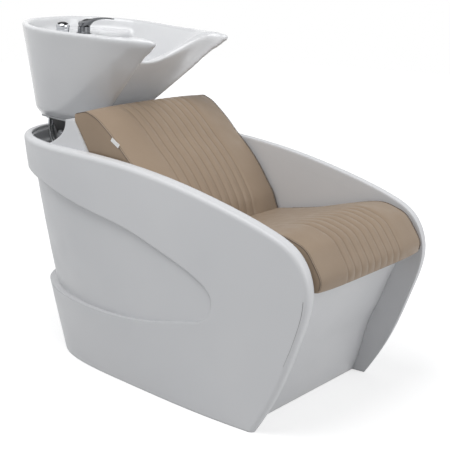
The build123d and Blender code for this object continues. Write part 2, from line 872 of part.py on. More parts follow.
# Taps on the deck
tap_x = 40
tap_u = basin_length * 0.801
shower_u = basin_length * 0.822
tap_radius = 20
shank_radius = 16
sleeve_radius = 17
deck_bottom = -deck_drop - deck_thickness

# The tilting carriers under the basin, and the pivot they turn on
pivot_y = station(0.8806)
pivot_z = 690
pin_radius = 8
pivot_local = basin_plane.to_local_coords(Vector(0, pivot_y, pivot_z))
carrier_thickness = 6
carrier_inner_x = 72
flange_width = 40
flange_front_u = basin_length * 0.5882
flange_back_u = basin_length * 0.8431
carrier_bolt_x = carrier_inner_x + flange_width * 0.62
carrier_bolt_stations = (flange_front_u + bar_size / 2, flange_back_u - bar_size / 2)
carrier_bolt_places = [(carrier_bolt_x, u) for u in carrier_bolt_stations]
carrier_bolt_reach = 22

with BuildPart() as basin_flat:
    add(basin_loft(((0, 0), (basin_foot_share, 0), (1, basin_foot_round))))
    add(bowl_form(), mode=Mode.SUBTRACT)
    add(neck_scoop(0), mode=Mode.SUBTRACT)
    add(neck_dip(), mode=Mode.SUBTRACT)
    fillet(edges().group_by(Axis.Z)[-1], rim_fillet)
    with Locations((0, (pocket_front_u + pocket_back_u) / 2, deck_bottom)):
        Box(pocket_half * 2, pocket_back_u - pocket_front_u, basin_depth,
            align=(Align.CENTER, Align.CENTER, Align.MAX), mode=Mode.SUBTRACT)
    add(round_tool(0, drain_u, drain_pocket_radius, -bowl_depth - floor_thickness,
                   -basin_depth - cut_overrun), mode=Mode.SUBTRACT)
    add(round_tool(0, drain_u, drain_radius + bolt_gap, 0, -basin_depth), mode=Mode.SUBTRACT)
    add(round_tool(0, drain_u, flange_radius + bolt_gap * 2, 0, -bowl_depth - flange_seat_depth),
        mode=Mode.SUBTRACT)
    add(round_tool(tap_x, tap_u, shank_radius + bolt_gap, 0, -basin_depth), mode=Mode.SUBTRACT)
    add(round_tool(-tap_x, shower_u, sleeve_radius + bolt_gap, 0, -basin_depth), mode=Mode.SUBTRACT)
    for x, u in carrier_bolt_places:
        for side in (-1, 1):
            add(round_tool(side * x, u, bolt_radius + bolt_gap, carrier_bolt_reach * 1.2 - basin_depth,
                           -basin_depth - cut_overrun), mode=Mode.SUBTRACT)
with BuildPart() as basin:
    add(on_basin(basin_flat.part))
finish(basin, "basin")

# Basin post, with the saddle and sleeve that the basin tilts on
post_size = 50
post_wall = 4
saddle_height = 6
saddle_half = 48
cheek_thickness = 8
sleeve_outer = 14
saddle_round = 22
ear_round = 18
sleeve_half = 66
post_top = 630
post_foot_z = bar_lift + bar_size + seat_gap
with BuildPart() as basin_post:
    with BuildSketch(Plane.XY.offset(post_foot_z)):
        with Locations((0, rear_bar_y)):
            Rectangle(post_size, post_size)
            Rectangle(post_size - post_wall * 2, post_size - post_wall * 2, mode=Mode.SUBTRACT)
    extrude(amount=post_top - post_foot_z)
finish(basin_post, "basin_post")
with BuildPart() as pivot_saddle:
    with Locations((0, rear_bar_y, post_top + seat_gap)):
        Box(saddle_half * 2, post_size, saddle_height, align=(Align.CENTER, Align.CENTER, Align.MIN))
    for start in (-saddle_half, saddle_half - cheek_thickness):
        with BuildSketch(Plane.YZ.offset(start)):
            with Locations((rear_bar_y, post_top + seat_gap + saddle_height / 2)):
                Rectangle(post_size, saddle_height)
            with Locations((pivot_y, pivot_z)):
                Circle(saddle_round)
            make_hull()
        extrude(amount=cheek_thickness)
    with BuildSketch(Plane.YZ.offset(-sleeve_half)):
        with Locations((pivot_y, pivot_z)):
            Circle(sleeve_outer)
    extrude(amount=sleeve_half * 2)
    with BuildSketch(Plane.YZ.offset(-sleeve_half)):
        with Locations((pivot_y, pivot_z)):
            Circle(pin_radius + running_gap)
    extrude(amount=sleeve_half * 2, mode=Mode.SUBTRACT)
finish(pivot_saddle, "pivot_saddle")


def carrier():
    """The right-hand carrier, drawn in the basin's own frame."""
    top = -basin_depth - seat_gap
    with BuildPart() as ear:
        with BuildSketch(Plane.YZ.offset(carrier_inner_x)):
            with Locations((flange_back_u - ear_round * 3, top - carrier_thickness / 2)):
                Rectangle(ear_round * 6, carrier_thickness)
            with Locations((pivot_local.Y, pivot_local.Z)):
                Circle(ear_round)
            make_hull()
        extrude(amount=carrier_thickness)
        with BuildSketch(Plane.XY.offset(top)):
            with Locations((carrier_inner_x + flange_width / 2, (flange_front_u + flange_back_u) / 2)):
                Rectangle(flange_width, flange_back_u - flange_front_u)
            with Locations(*carrier_bolt_places):
                Circle(bolt_radius + bolt_gap, mode=Mode.SUBTRACT)
        extrude(amount=-carrier_thickness)
        with BuildSketch(Plane.YZ):
            with Locations((pivot_local.Y, pivot_local.Z)):
                Circle(pin_radius + running_gap)
        extrude(amount=basin_half, mode=Mode.SUBTRACT)
    return ear.part


with BuildPart() as right_carrier:
    add(on_basin(carrier()))
finish(right_carrier, "right_carrier")
with BuildPart() as left_carrier:
    add(on_basin(carrier().mirror(Plane.YZ)))
finish(left_carrier, "left_carrier")
with BuildPart() as carrier_bolts_flat:
    under = -basin_depth - seat_gap * 2 - carrier_thickness
    places = [(side * x, u) for x, u in carrier_bolt_places for side in (-1, 1)]
    with BuildSketch(Plane.XY.offset(under)):
        with Locations(*places):
            RegularPolygon(bolt_head_radius, 6)
    extrude(amount=-bolt_head_height)
    with BuildSketch(Plane.XY.offset(under)):
        with Locations(*places):
            Circle(bolt_radius)
    extrude(amount=carrier_thickness + carrier_bolt_reach)
with BuildPart() as carrier_bolts:
    add(on_basin(carrier_bolts_flat.part))
finish(carrier_bolts, "carrier_bolts")

# Pivot pin, its nuts and the washers between the sleeve and the ears
pin_half = 92
pin_nut_radius = 15
pin_nut_height = 9
carrier_outer_x = carrier_inner_x + carrier_thickness


def pivot_ring(outline_radius, sides, start, thickness):
    """A washer or nut on the pivot's axis, with a mirrored twin."""
    with BuildPart() as ring:
        with BuildSketch(Plane.YZ.offset(start)):
            with Locations((pivot_y, pivot_z)):
                if sides:
                    RegularPolygon(outline_radius, sides)
                else:
                    Circle(outline_radius)
                Circle(pin_radius + running_gap, mode=Mode.SUBTRACT)
        extrude(amount=thickness)
        mirror(about=Plane.YZ)
    return ring.part


with BuildPart() as pivot_pin:
    with BuildSketch(Plane.YZ.offset(-pin_half)):
        with Locations((pivot_y, pivot_z)):
            Circle(pin_radius)
    extrude(amount=pin_half * 2)
finish(pivot_pin, "pivot_pin")
with BuildPart() as pivot_nuts:
    add(pivot_ring(pin_nut_radius, 6, carrier_outer_x + seat_gap, pin_nut_height))
finish(pivot_nuts, "pivot_nuts")
with BuildPart() as friction_washers:
    add(pivot_ring(saddle_round * 0.8, 0, sleeve_half + seat_gap,
                   carrier_inner_x - sleeve_half - seat_gap * 2))
finish(friction_washers, "friction_washers")

# Mixer tap on the deck: a body through the deck, a turning cap and a lifting lever
tap_ring_radius = 24
deck_nut_radius = 21
tap_ring_height = 4
tap_body_top = -14
cap_top = 4
cap_round = 5
shank_bottom = -76
cartridge_radius = 13
spindle_radius = 4
lever_width = 14
lever_reach = 125
lever_tip_height = 25
lever_thickness = 6
lever_axis_w = -5
lever_axis_u = -6
lever_pin_radius = 2
deck_w = -deck_drop + seat_gap
ring_top = deck_w + tap_ring_height
body_foot = ring_top + seat_gap
cap_foot = tap_body_top + seat_gap


def placed_on_deck(part, x, u):
    """Moves a part drawn about the origin to a place on the deck, then pitches it."""
    return on_basin(part.moved(Location((x, u, 0))))


def turned(radius, bottom, top, bore=0):
    """A round piece between two levels, with an optional bore."""
    with BuildPart() as piece:
        with Locations((0, 0, bottom)):
            Cylinder(radius, top - bottom, align=(Align.CENTER, Align.CENTER, Align.MIN))
            if bore:
                Cylinder(bore, top - bottom, align=(Align.CENTER, Align.CENTER, Align.MIN),
                         mode=Mode.SUBTRACT)
    return piece.part


def hex_nut(radius, bore, top, height):
    """A hexagonal nut hanging under a level."""
    with BuildPart() as nut:
        with BuildSketch(Plane.XY.offset(top)):
            RegularPolygon(radius, 6)
            Circle(bore, mode=Mode.SUBTRACT)
        extrude(amount=-height)
    return nut.part


with BuildPart() as tap_ring:
    add(placed_on_deck(turned(tap_ring_radius, deck_w, ring_top, shank_radius + bolt_gap), tap_x, tap_u))
finish(tap_ring, "tap_ring")
with BuildPart() as tap_base_flat:
    add(turned(tap_radius, body_foot, tap_body_top))
    add(turned(shank_radius, shank_bottom, body_foot))
    add(turned(cartridge_radius + seat_gap, body_foot + tap_ring_height, tap_body_top), mode=Mode.SUBTRACT)
with BuildPart() as tap_base:
    add(placed_on_deck(tap_base_flat.part, tap_x, tap_u))
finish(tap_base, "tap_base")
with BuildPart() as tap_cartridge_flat:
    add(turned(cartridge_radius, body_foot + tap_ring_height + seat_gap, tap_body_top))
    add(turned(spindle_radius, tap_body_top, lever_axis_w - lever_thickness))
with BuildPart() as tap_cartridge:
    add(placed_on_deck(tap_cartridge_flat.part, tap_x, tap_u))
finish(tap_cartridge, "tap_cartridge")
with BuildPart() as tap_nut:
    add(placed_on_deck(hex_nut(deck_nut_radius, shank_radius + bolt_gap, deck_bottom - seat_gap,
                               nut_height * 1.2),
                       tap_x, tap_u))
finish(tap_nut, "tap_nut")
with BuildPart() as tap_cap_flat:
    add(turned(tap_radius, cap_foot, cap_top))
    fillet(edges().group_by(Axis.Z)[-1], cap_round)
    add(turned(spindle_radius + running_gap, cap_foot, lever_axis_w - lever_thickness + seat_gap),
        mode=Mode.SUBTRACT)
    with Locations((0, -tap_radius * 0.45, lever_axis_w - lever_thickness * 0.7)):
        Box(lever_width + seat_gap * 2, tap_radius * 1.3, basin_wall,
            align=(Align.CENTER, Align.CENTER, Align.MIN), mode=Mode.SUBTRACT)
    with BuildSketch(Plane.YZ.offset(-tap_radius)):
        with Locations((lever_axis_u, lever_axis_w)):
            Circle(lever_pin_radius + running_gap)
    extrude(amount=tap_radius * 2, mode=Mode.SUBTRACT)
with BuildPart() as tap_cap:
    add(placed_on_deck(tap_cap_flat.part, tap_x, tap_u))
finish(tap_cap, "tap_cap")
lever_line = (
    (lever_axis_u, lever_axis_w),
    (-lever_reach * 0.20, lever_axis_w + lever_thickness * 0.2),
    (-lever_reach * 0.60, lever_tip_height * 0.30),
    (-lever_reach, lever_tip_height - lever_thickness / 2),
)
with BuildPart() as tap_lever_flat:
    with BuildSketch(Plane.YZ.offset(-lever_width / 2)):
        with BuildLine():
            lever_over = moved_along_normal(lever_line, -lever_thickness / 2)
            lever_under = moved_along_normal(lever_line, lever_thickness / 2)
            Spline(*lever_over)
            ThreePointArc(lever_over[-1], (-lever_reach - lever_thickness * 0.4, lever_line[-1][1]),
                          lever_under[-1])
            Spline(*lever_under)
            ThreePointArc(lever_under[0], (lever_axis_u + lever_thickness / 2, lever_axis_w), lever_over[0])
        make_face()
        with Locations((lever_axis_u, lever_axis_w)):
            Circle(lever_pin_radius + running_gap, mode=Mode.SUBTRACT)
    extrude(amount=lever_width)
with BuildPart() as tap_lever:
    add(placed_on_deck(tap_lever_flat.part, tap_x, tap_u))
finish(tap_lever, "tap_lever")
with BuildPart() as lever_pin_flat:
    with BuildSketch(Plane.YZ.offset(-tap_radius * 0.85)):
        with Locations((lever_axis_u, lever_axis_w)):
            Circle(lever_pin_radius)
    extrude(amount=tap_radius * 1.7)
with BuildPart() as lever_pin:
    add(placed_on_deck(lever_pin_flat.part, tap_x, tap_u))
finish(lever_pin, "lever_pin")

# Hand shower, standing in a sleeve through the deck
socket_radius = 23
sleeve_bore = 15.3
sleeve_bottom = -118
shower_radius = 21
shower_top = -2
stem_top_radius = 15
stem_end_radius = 9
stem_bottom = -140
spray_radius = 17.5
spray_height = 5
spray_recess = 3
with BuildPart() as shower_socket_flat:
    add(turned(socket_radius, deck_w, ring_top))
    add(turned(sleeve_radius, sleeve_bottom, deck_w))
    add(turned(sleeve_bore, sleeve_bottom, ring_top), mode=Mode.SUBTRACT)
with BuildPart() as shower_socket:
    add(placed_on_deck(shower_socket_flat.part, -tap_x, shower_u))
finish(shower_socket, "shower_socket")
with BuildPart() as socket_nut:
    add(placed_on_deck(hex_nut(deck_nut_radius, sleeve_radius + bolt_gap, deck_bottom - seat_gap,
                               nut_height), -tap_x,
                       shower_u))
finish(socket_nut, "socket_nut")
with BuildPart() as shower_head_flat:
    with BuildSketch(Plane.XZ):
        with BuildLine():
            Polyline((0, stem_bottom), (stem_end_radius, stem_bottom),
                     (stem_top_radius, body_foot - tap_ring_height), (stem_top_radius, body_foot),
                     (shower_radius * 0.9, body_foot), (shower_radius, tap_body_top))
            ThreePointArc((shower_radius, tap_body_top),
                          (shower_radius * 0.96, shower_top - spray_height / 2),
                          (spray_radius + seat_gap, shower_top))
            Polyline((spray_radius + seat_gap, shower_top),
                     (spray_radius + seat_gap, shower_top - spray_recess),
                     (0, shower_top - spray_recess), (0, stem_bottom))
        make_face()
    revolve(axis=Axis.Z)
with BuildPart() as shower_head:
    add(placed_on_deck(shower_head_flat.part, -tap_x, shower_u))
finish(shower_head, "shower_head")
nozzle_radius = 1.2
nozzle_count = 10
nozzle_turn = 18
with BuildPart() as spray_plate_flat:
    plate_foot = shower_top - spray_recess + seat_gap
    with BuildSketch(Plane.XZ):
        with BuildLine():
            Polyline((0, plate_foot), (spray_radius, plate_foot), (spray_radius, shower_top))
            ThreePointArc((spray_radius, shower_top), (spray_radius * 0.55, shower_top + spray_height * 0.75),
                          (0, shower_top + spray_height))
            Line((0, shower_top + spray_height), (0, plate_foot))
        make_face()
    revolve(axis=Axis.Z)
    with BuildSketch(Plane.XY.offset(shower_top + spray_height * 2)):
        with PolarLocations(spray_radius * 0.65, nozzle_count, start_angle=nozzle_turn):
            Circle(nozzle_radius)
        with PolarLocations(spray_radius * 0.35, nozzle_count // 2, start_angle=nozzle_turn):
            Circle(nozzle_radius)
    extrude(amount=-spray_height * 4, mode=Mode.SUBTRACT)
with BuildPart() as spray_plate:
    add(placed_on_deck(spray_plate_flat.part, -tap_x, shower_u))
finish(spray_plate, "spray_plate")

# Waste in the bowl's floor, and the strainer that lifts out of it
waste_bore = 18
waste_flange_height = 3
seal_height = 1.5
waste_bottom = -334
strainer_radius = 25
strainer_height = 2.5
strainer_holes = 12
strainer_knob = 5
floor_w = -bowl_depth - flange_seat_depth
under_floor = -bowl_depth - floor_thickness
seal_top = floor_w + seat_gap + seal_height
flange_foot = seal_top + seat_gap
flange_top = flange_foot + waste_flange_height
with BuildPart() as waste_seal:
    add(placed_on_deck(turned(flange_radius, floor_w + seat_gap, seal_top, drain_radius + bolt_gap),
                       0, drain_u))
finish(waste_seal, "waste_seal")
with BuildPart() as waste_body_flat:
    add(turned(flange_radius, flange_foot, flange_top))
    add(turned(drain_radius, waste_bottom, flange_foot))
    add(turned(waste_bore, waste_bottom, flange_top), mode=Mode.SUBTRACT)
with BuildPart() as waste_body:
    add(placed_on_deck(waste_body_flat.part, 0, drain_u))
finish(waste_body, "waste_body")
with BuildPart() as waste_nut:
    add(placed_on_deck(hex_nut(drain_pocket_radius * 0.7, drain_radius + bolt_gap,
                               under_floor - seat_gap, nut_height),
                       0, drain_u))
finish(waste_nut, "waste_nut")
with BuildPart() as waste_strainer_flat:
    strainer_foot = flange_top + seat_gap
    add(turned(strainer_radius, strainer_foot, strainer_foot + strainer_height))
    add(turned(waste_bore - seat_gap * 2, strainer_foot - strainer_height * 4, strainer_foot,
               waste_bore - bar_wall))
    add(turned(strainer_knob, strainer_foot + strainer_height, strainer_foot + strainer_height * 4))
    with BuildSketch(Plane.XY.offset(strainer_foot)):
        with PolarLocations(waste_bore * 0.62, strainer_holes):
            Circle(screw_radius * 0.6)
    extrude(amount=strainer_height, mode=Mode.SUBTRACT)
with BuildPart() as waste_strainer:
    add(placed_on_deck(waste_strainer_flat.part, 0, drain_u))
finish(waste_strainer, "waste_strainer")

# Waste outlet in the floor plate between the rails
outlet_radius = 20
outlet_neck_radius = 22
outlet_bore = 17
outlet_y = station(0.760)
outlet_bottom = 8
outlet_top = 74
outlet_collar = 28
plate_thickness = 5
plate_depth = 80
plate_z = bar_lift + bar_size + seat_gap
with BuildPart() as outlet_plate:
    with BuildSketch(Plane.XY.offset(plate_z)):
        with Locations((0, outlet_y)):
            Rectangle((rail_x + bar_size / 2) * 2, plate_depth)
            Circle(outlet_neck_radius + seat_gap, mode=Mode.SUBTRACT)
    extrude(amount=plate_thickness)
finish(outlet_plate, "outlet_plate")
with BuildPart() as waste_outlet:
    with BuildSketch(Plane.XY.offset(outlet_bottom)):
        with Locations((0, outlet_y)):
            Circle(outlet_radius)
    extrude(amount=outlet_top - outlet_bottom)
    with BuildSketch(Plane.XY.offset(plate_z - seat_gap)):
        with Locations((0, outlet_y)):
            Circle(outlet_neck_radius)
    extrude(amount=outlet_top - plate_z + seat_gap)
    with BuildSketch(Plane.XY.offset(plate_z + plate_thickness + seat_gap)):
        with Locations((0, outlet_y)):
            Circle(outlet_collar)
    extrude(amount=plate_thickness)
    with BuildSketch(Plane.XY.offset(outlet_bottom)):
        with Locations((0, outlet_y)):
            Circle(outlet_bore)
    extrude(amount=outlet_top, mode=Mode.SUBTRACT)
finish(waste_outlet, "waste_outlet")

# Stop valves on a bracket in front of the post
bracket_half = 92
bracket_thickness = 6
bracket_bottom = 440
bracket_top = 505
valve_x = 68
valve_radius = 12
valve_pipe_radius = 10.5
valve_top_radius = 8
valve_bottom = 425
valve_top = 498
valve_gap = 6
handle_radius = 9
handle_thickness = 6
handle_reach = 34
spindle_length = 12
bracket_back = rear_bar_y - post_size / 2 - seat_gap
bracket_front = bracket_back - bracket_thickness
valve_y = bracket_front - valve_radius - valve_gap
valve_middle = (bracket_bottom + bracket_top) / 2
handle_y = valve_y - valve_radius - spindle_length / 2
with BuildPart() as valve_bracket:
    with Locations((0, bracket_front, bracket_bottom)):
        Box(bracket_half * 2, bracket_thickness, bracket_top - bracket_bottom,
            align=(Align.CENTER, Align.MIN, Align.MIN))
finish(valve_bracket, "valve_bracket")


def valve(x):
    """A stop valve with its inlet below, its outlet above and a foot on the bracket."""
    with BuildPart() as body:
        for radius, bottom, top in (
            (valve_radius, bracket_bottom, bracket_top - handle_radius),
            (valve_pipe_radius, valve_bottom, bracket_bottom),
            (valve_top_radius, bracket_top - handle_radius, valve_top + handle_radius),
        ):
            with Locations((x, valve_y, bottom)):
                Cylinder(radius, top - bottom, align=(Align.CENTER, Align.CENTER, Align.MIN))
        with BuildSketch(Plane.XZ.offset(-bracket_front + seat_gap)):
            with Locations((x, valve_middle)):
                Circle(valve_radius)
        extrude(amount=valve_radius + valve_gap - seat_gap)
        with BuildSketch(Plane.XZ.offset(-valve_y)):
            with Locations((x, valve_middle)):
                Circle(spindle_radius)
        extrude(amount=valve_radius + spindle_length)
        with Locations((x, valve_y, valve_bottom)):
            Cylinder(valve_top_radius * 0.75, bar_size, align=(Align.CENTER, Align.CENTER, Align.MIN),
                     mode=Mode.SUBTRACT)
    return body.part


def handle(x, side):
    """A quarter-turn handle on a valve's spindle."""
    with BuildPart() as grip:
        with BuildSketch(Plane.XZ.offset(-handle_y)):
            with Locations((x, valve_middle)):
                Circle(handle_radius)
            with Locations((x + side * handle_reach / 2, valve_middle)):
                Rectangle(handle_reach, handle_radius)
            with Locations((x + side * handle_reach, valve_middle)):
                Circle(handle_radius / 2)
            with Locations((x, valve_middle)):
                Circle(spindle_radius + running_gap, mode=Mode.SUBTRACT)
        extrude(amount=handle_thickness)
    return grip.part


with BuildPart() as cold_valve:
    add(valve(-valve_x))
finish(cold_valve, "cold_valve")
with BuildPart() as hot_valve:
    add(valve(valve_x))
finish(hot_valve, "hot_valve")
with BuildPart() as cold_handle:
    add(handle(-valve_x, -1))
finish(cold_handle, "cold_handle")
with BuildPart() as hot_handle:
    add(handle(valve_x, 1))
finish(hot_handle, "hot_handle")

# Hoses: each follows straight runs joined by tangent arcs
hose_radius = 4.5
ferrule_radius = 5.6
ferrule_length = 36


def on_deck_point(x, u, w):
    """A point of the basin's own frame, as a point in the part's frame."""
    return basin_plane.from_local_coords(Vector(x, u, w))


def hose(name, points):
    """A hose swept along a route; prints each bend's radius and the whole length."""
    points = [Vector(*p) for p in points]
    bends = []
    for before, corner, after in zip(points, points[1:], points[2:]):
        run_in = corner - before
        run_out = after - corner
        half_turn = radians(run_in.get_angle(run_out)) / 2
        bends.append(0.45 * min(run_in.length, run_out.length) / tan(half_turn))
    with BuildPart() as tubing:
        with BuildLine() as route:
            FilletPolyline(*points, radius=bends)
        start = route.wires()[0]
        with BuildSketch(Plane(origin=points[0], z_dir=points[1] - points[0])):
            Circle(hose_radius)
        sweep(path=start)
    print(name, "length", round(start.length), "bend radii", [round(bend) for bend in bends])
    return tubing.part


hose_exit_u = basin_length * 0.8889
cold_exit_x = -52
hot_exit_x = -40
hose_start_w = shank_bottom - seat_gap
hose_low_w = -332
hose_drop = 45
cold_low = on_deck_point(cold_exit_x, hose_exit_u, hose_low_w - hose_drop)
hot_low = on_deck_point(hot_exit_x, hose_exit_u, hose_low_w - hose_drop)
valve_end_z = valve_top + handle_radius + seat_gap
with BuildPart() as cold_hose:
    add(hose("cold_hose", (
        on_deck_point(tap_x - shank_radius / 2, tap_u, hose_start_w),
        on_deck_point(tap_x - shank_radius / 2, tap_u, hose_start_w * 1.6),
        on_deck_point(-drain_radius, hose_exit_u, hose_start_w * 2.5),
        on_deck_point(cold_exit_x, hose_exit_u, hose_start_w * 3.1),
        cold_low,
        (cold_exit_x - hose_radius, cold_low.Y - hose_drop * 1.3, cold_low.Z - hose_drop),
        (-valve_x, valve_y + hose_drop, valve_end_z + hose_drop * 2),
        (-valve_x, valve_y, valve_end_z + hose_drop * 1.35),
        (-valve_x, valve_y, valve_end_z),
    )))
finish(cold_hose, "cold_hose")
with BuildPart() as hot_hose:
    add(hose("hot_hose", (
        on_deck_point(tap_x + shank_radius / 2, tap_u, hose_start_w),
        on_deck_point(tap_x + shank_radius / 2, tap_u, hose_start_w * 1.7),
        on_deck_point(-drain_radius / 2, hose_exit_u, hose_start_w * 2.8),
        on_deck_point(hot_exit_x, hose_exit_u, hose_start_w * 3.3),
        hot_low,
        (hot_exit_x + hose_drop, hot_low.Y - hose_drop * 0.7, hot_low.Z - hose_drop),
        (valve_x * 0.8, hot_low.Y - hose_drop * 1.8, hot_low.Z - hose_drop * 1.35),
        (valve_x, valve_y + hose_drop, valve_end_z + hose_drop * 2),
        (valve_x, valve_y, valve_end_z + hose_drop * 1.35),
        (valve_x, valve_y, valve_end_z),
    )))
finish(hot_hose, "hot_hose")
def ferrules(x):
    """A crimped ferrule round a hose, just under the basin."""
    return turned(ferrule_radius, hose_low_w, hose_low_w + ferrule_length, hose_radius + seat_gap).moved(
        Location((x, hose_exit_u, 0)))


with BuildPart() as hose_ferrules:
    add(on_basin(ferrules(cold_exit_x)))
    add(on_basin(ferrules(hot_exit_x)))
finish(hose_ferrules, "hose_ferrules")
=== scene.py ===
# %% [markdown]
# # A hair washing bed, dressed for its picture
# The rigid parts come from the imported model. This lesson gives every one of them a finish, sews
# the two cushions, hangs the two water hoses, closes the well with a tray, puts softer castings
# in place of the basin, the lever and the cap, and sets up a small white studio.

# %% Frame
import bpy
import math
import numpy as np
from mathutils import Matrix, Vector


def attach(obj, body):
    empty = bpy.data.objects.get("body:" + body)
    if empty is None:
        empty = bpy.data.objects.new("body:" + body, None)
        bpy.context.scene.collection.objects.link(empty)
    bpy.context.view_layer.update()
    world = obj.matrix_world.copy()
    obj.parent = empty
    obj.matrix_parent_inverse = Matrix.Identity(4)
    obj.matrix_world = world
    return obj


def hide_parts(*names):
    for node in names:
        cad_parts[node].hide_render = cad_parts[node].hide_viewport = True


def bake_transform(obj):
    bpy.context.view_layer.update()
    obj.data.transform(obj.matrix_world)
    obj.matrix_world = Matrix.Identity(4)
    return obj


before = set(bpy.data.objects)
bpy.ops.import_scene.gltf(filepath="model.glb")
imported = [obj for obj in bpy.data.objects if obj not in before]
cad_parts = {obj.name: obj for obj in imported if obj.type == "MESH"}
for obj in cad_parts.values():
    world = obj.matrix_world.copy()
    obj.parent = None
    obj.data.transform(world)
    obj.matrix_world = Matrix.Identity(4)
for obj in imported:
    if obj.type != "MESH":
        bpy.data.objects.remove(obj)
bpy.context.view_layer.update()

# %% [markdown]
# The loader leaves every part selected, and an operator acts on all that is selected, so the
# selection is cleared before anything is made. The view keeps plain standard colours. Two more
# helpers apply a modifier at once and turn a piece's faces outwards.

# %% Selection and view
scene = bpy.context.scene
scene.view_settings.view_transform = "Standard"


def clear_selection():
    """Nothing stays selected, so the next operator touches only its own piece."""
    if bpy.context.object is not None and bpy.context.object.mode != "OBJECT":
        bpy.ops.object.mode_set(mode="OBJECT")
    for other in list(bpy.context.selected_objects):
        other.select_set(False)
    bpy.context.view_layer.objects.active = None


def take(piece):
    """Selects one piece alone and makes it the active one."""
    clear_selection()
    piece.select_set(True)
    bpy.context.view_layer.objects.active = piece


def shape_by(piece, kind, **settings):
    """Gives the piece one modifier with its settings and applies it."""
    take(piece)
    modifier = piece.modifiers.new(kind.lower(), kind)
    for key, value in settings.items():
        setattr(modifier, key, value)
    bpy.ops.object.modifier_apply(modifier=modifier.name)


def face_outwards(piece):
    """Turns all faces of a closed piece outwards."""
    take(piece)
    bpy.ops.object.mode_set(mode="EDIT")
    bpy.ops.mesh.select_all(action="SELECT")
    bpy.ops.mesh.normals_make_consistent(inside=False)
    bpy.ops.object.mode_set(mode="OBJECT")


clear_selection()
print("selected now", len(bpy.context.selected_objects))

# %% [markdown]
# ## Camera
# The picture was taken from the front left and a little above, with a longish lens. The camera
# stands at the place that was fitted to the outline, and looks at a point inside the seat.

# %% Camera
camera_place = Vector((-2.473, -2.088, 1.254))
camera_target = Vector((0.0, -0.114, 0.469))
camera_data = bpy.data.cameras.new("portrait_lens")
camera_data.lens = 88.08
camera_data.sensor_width = 36.0
camera_data.sensor_fit = "HORIZONTAL"
camera = bpy.data.objects.new("portrait_camera", camera_data)
scene.collection.objects.link(camera)
camera.location = camera_place
camera.rotation_euler = (camera_target - camera_place).to_track_quat("-Z", "Y").to_euler()
scene.camera = camera
print("camera distance", round((camera_target - camera_place).length, 3))

# %% [markdown]
# ## Water hoses
# Two braided hoses leave the tap's shank under the basin, pass down the back of the post and end
# at the stop valves. Each is one smooth spline through a few points, turned into a tube.

# %% Hoses
hose_radius = 0.0045
hose_routes = {
    "cold_water_hose": ("cold_hose", 0.608, (
        (0.0320, 0.5007, 0.9604), (0.0320, 0.5043, 0.9148), (-0.0220, 0.5633, 0.8505),
        (-0.0520, 0.5669, 0.8049), (-0.0520, 0.5779, 0.6648), (-0.0565, 0.5194, 0.6198),
        (-0.0680, 0.4307, 0.5973), (-0.0680, 0.3857, 0.5681), (-0.0680, 0.3857, 0.5073),
    )),
    "hot_water_hose": ("hot_hose", 0.650, (
        (0.0480, 0.5007, 0.9604), (0.0480, 0.5049, 0.9072), (-0.0110, 0.5651, 0.8277),
        (-0.0400, 0.5681, 0.7897), (-0.0400, 0.5779, 0.6648), (0.0050, 0.5464, 0.6198),
        (0.0544, 0.4969, 0.6041), (0.0680, 0.4307, 0.5973), (0.0680, 0.3857, 0.5681),
        (0.0680, 0.3857, 0.5073),
    )),
}


def new_curve(name, resolution):
    """An empty curve in space."""
    curve = bpy.data.curves.new(name, "CURVE")
    curve.dimensions = "3D"
    curve.resolution_u = resolution
    return curve


def add_line(curve, points, radii=None):
    """A smooth open line with these points as its control points, and their thickness shares."""
    line = curve.splines.new("NURBS")
    line.points.add(len(points) - 1)
    for number, (knot, point) in enumerate(zip(line.points, points)):
        knot.co = (*point, 1.0)
        if radii is not None:
            knot.radius = radii[number]
    line.order_u = 3
    line.use_endpoint_u = True


def thicken(curve, radius, resolution):
    """Turns the curve's lines into closed round cords."""
    curve.bevel_depth = radius
    curve.bevel_resolution = resolution
    curve.use_fill_caps = True


def as_mesh(name, curve):
    """A new object whose mesh is the curve's shape, smoothly shaded."""
    holder = bpy.data.objects.new(name + "_curve", curve)
    scene.collection.objects.link(holder)
    bpy.context.view_layer.update()
    piece = bpy.data.objects.new(name, bpy.data.meshes.new_from_object(holder))
    scene.collection.objects.link(piece)
    bpy.data.objects.remove(holder)
    for polygon in piece.data.polygons:
        polygon.use_smooth = True
    return piece


def line_of(curve):
    """The curve's own line as points, read before it has any thickness."""
    reader = as_mesh("line_reader", curve)
    mesh = reader.data
    points = [tuple(vertex.co) for vertex in mesh.vertices]
    bpy.data.objects.remove(reader)
    bpy.data.meshes.remove(mesh)
    return points


def length_of(points):
    """How long a line of points is."""
    return sum((Vector(b) - Vector(a)).length for a, b in zip(points, points[1:]))


hoses = {}
for hose_name, (hose_node, hose_length, hose_points) in hose_routes.items():
    hose_curve = new_curve(hose_name, 12)
    add_line(hose_curve, hose_points)
    hose_line = line_of(hose_curve)
    thicken(hose_curve, hose_radius, 4)
    hose = as_mesh(hose_name, hose_curve)
    hoses[hose_name] = hose
    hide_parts(hose_node)
    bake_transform(hose)
    print(hose_name, "line", round(length_of(hose_line), 3), "of", hose_length)

# %% [markdown]
# ## A small bench for materials
# Every finish starts as a Principled surface. These helpers add a node with its settings and join
# two sockets, so that each finish below reads as a short recipe. Patterns sit on Object
# coordinates, in metres, so a scale of 1000 makes grains of about a millimetre.

# %% Node helpers
def new_finish(name, colour, roughness, metallic=0.0):
    """A material with one Principled surface, and that surface."""
    finish = bpy.data.materials.new(name)
    finish.use_nodes = True
    surface = finish.node_tree.nodes["Principled BSDF"]
    surface.inputs["Base Color"].default_value = (*colour, 1.0)
    surface.inputs["Roughness"].default_value = roughness
    surface.inputs["Metallic"].default_value = metallic
    return finish, surface


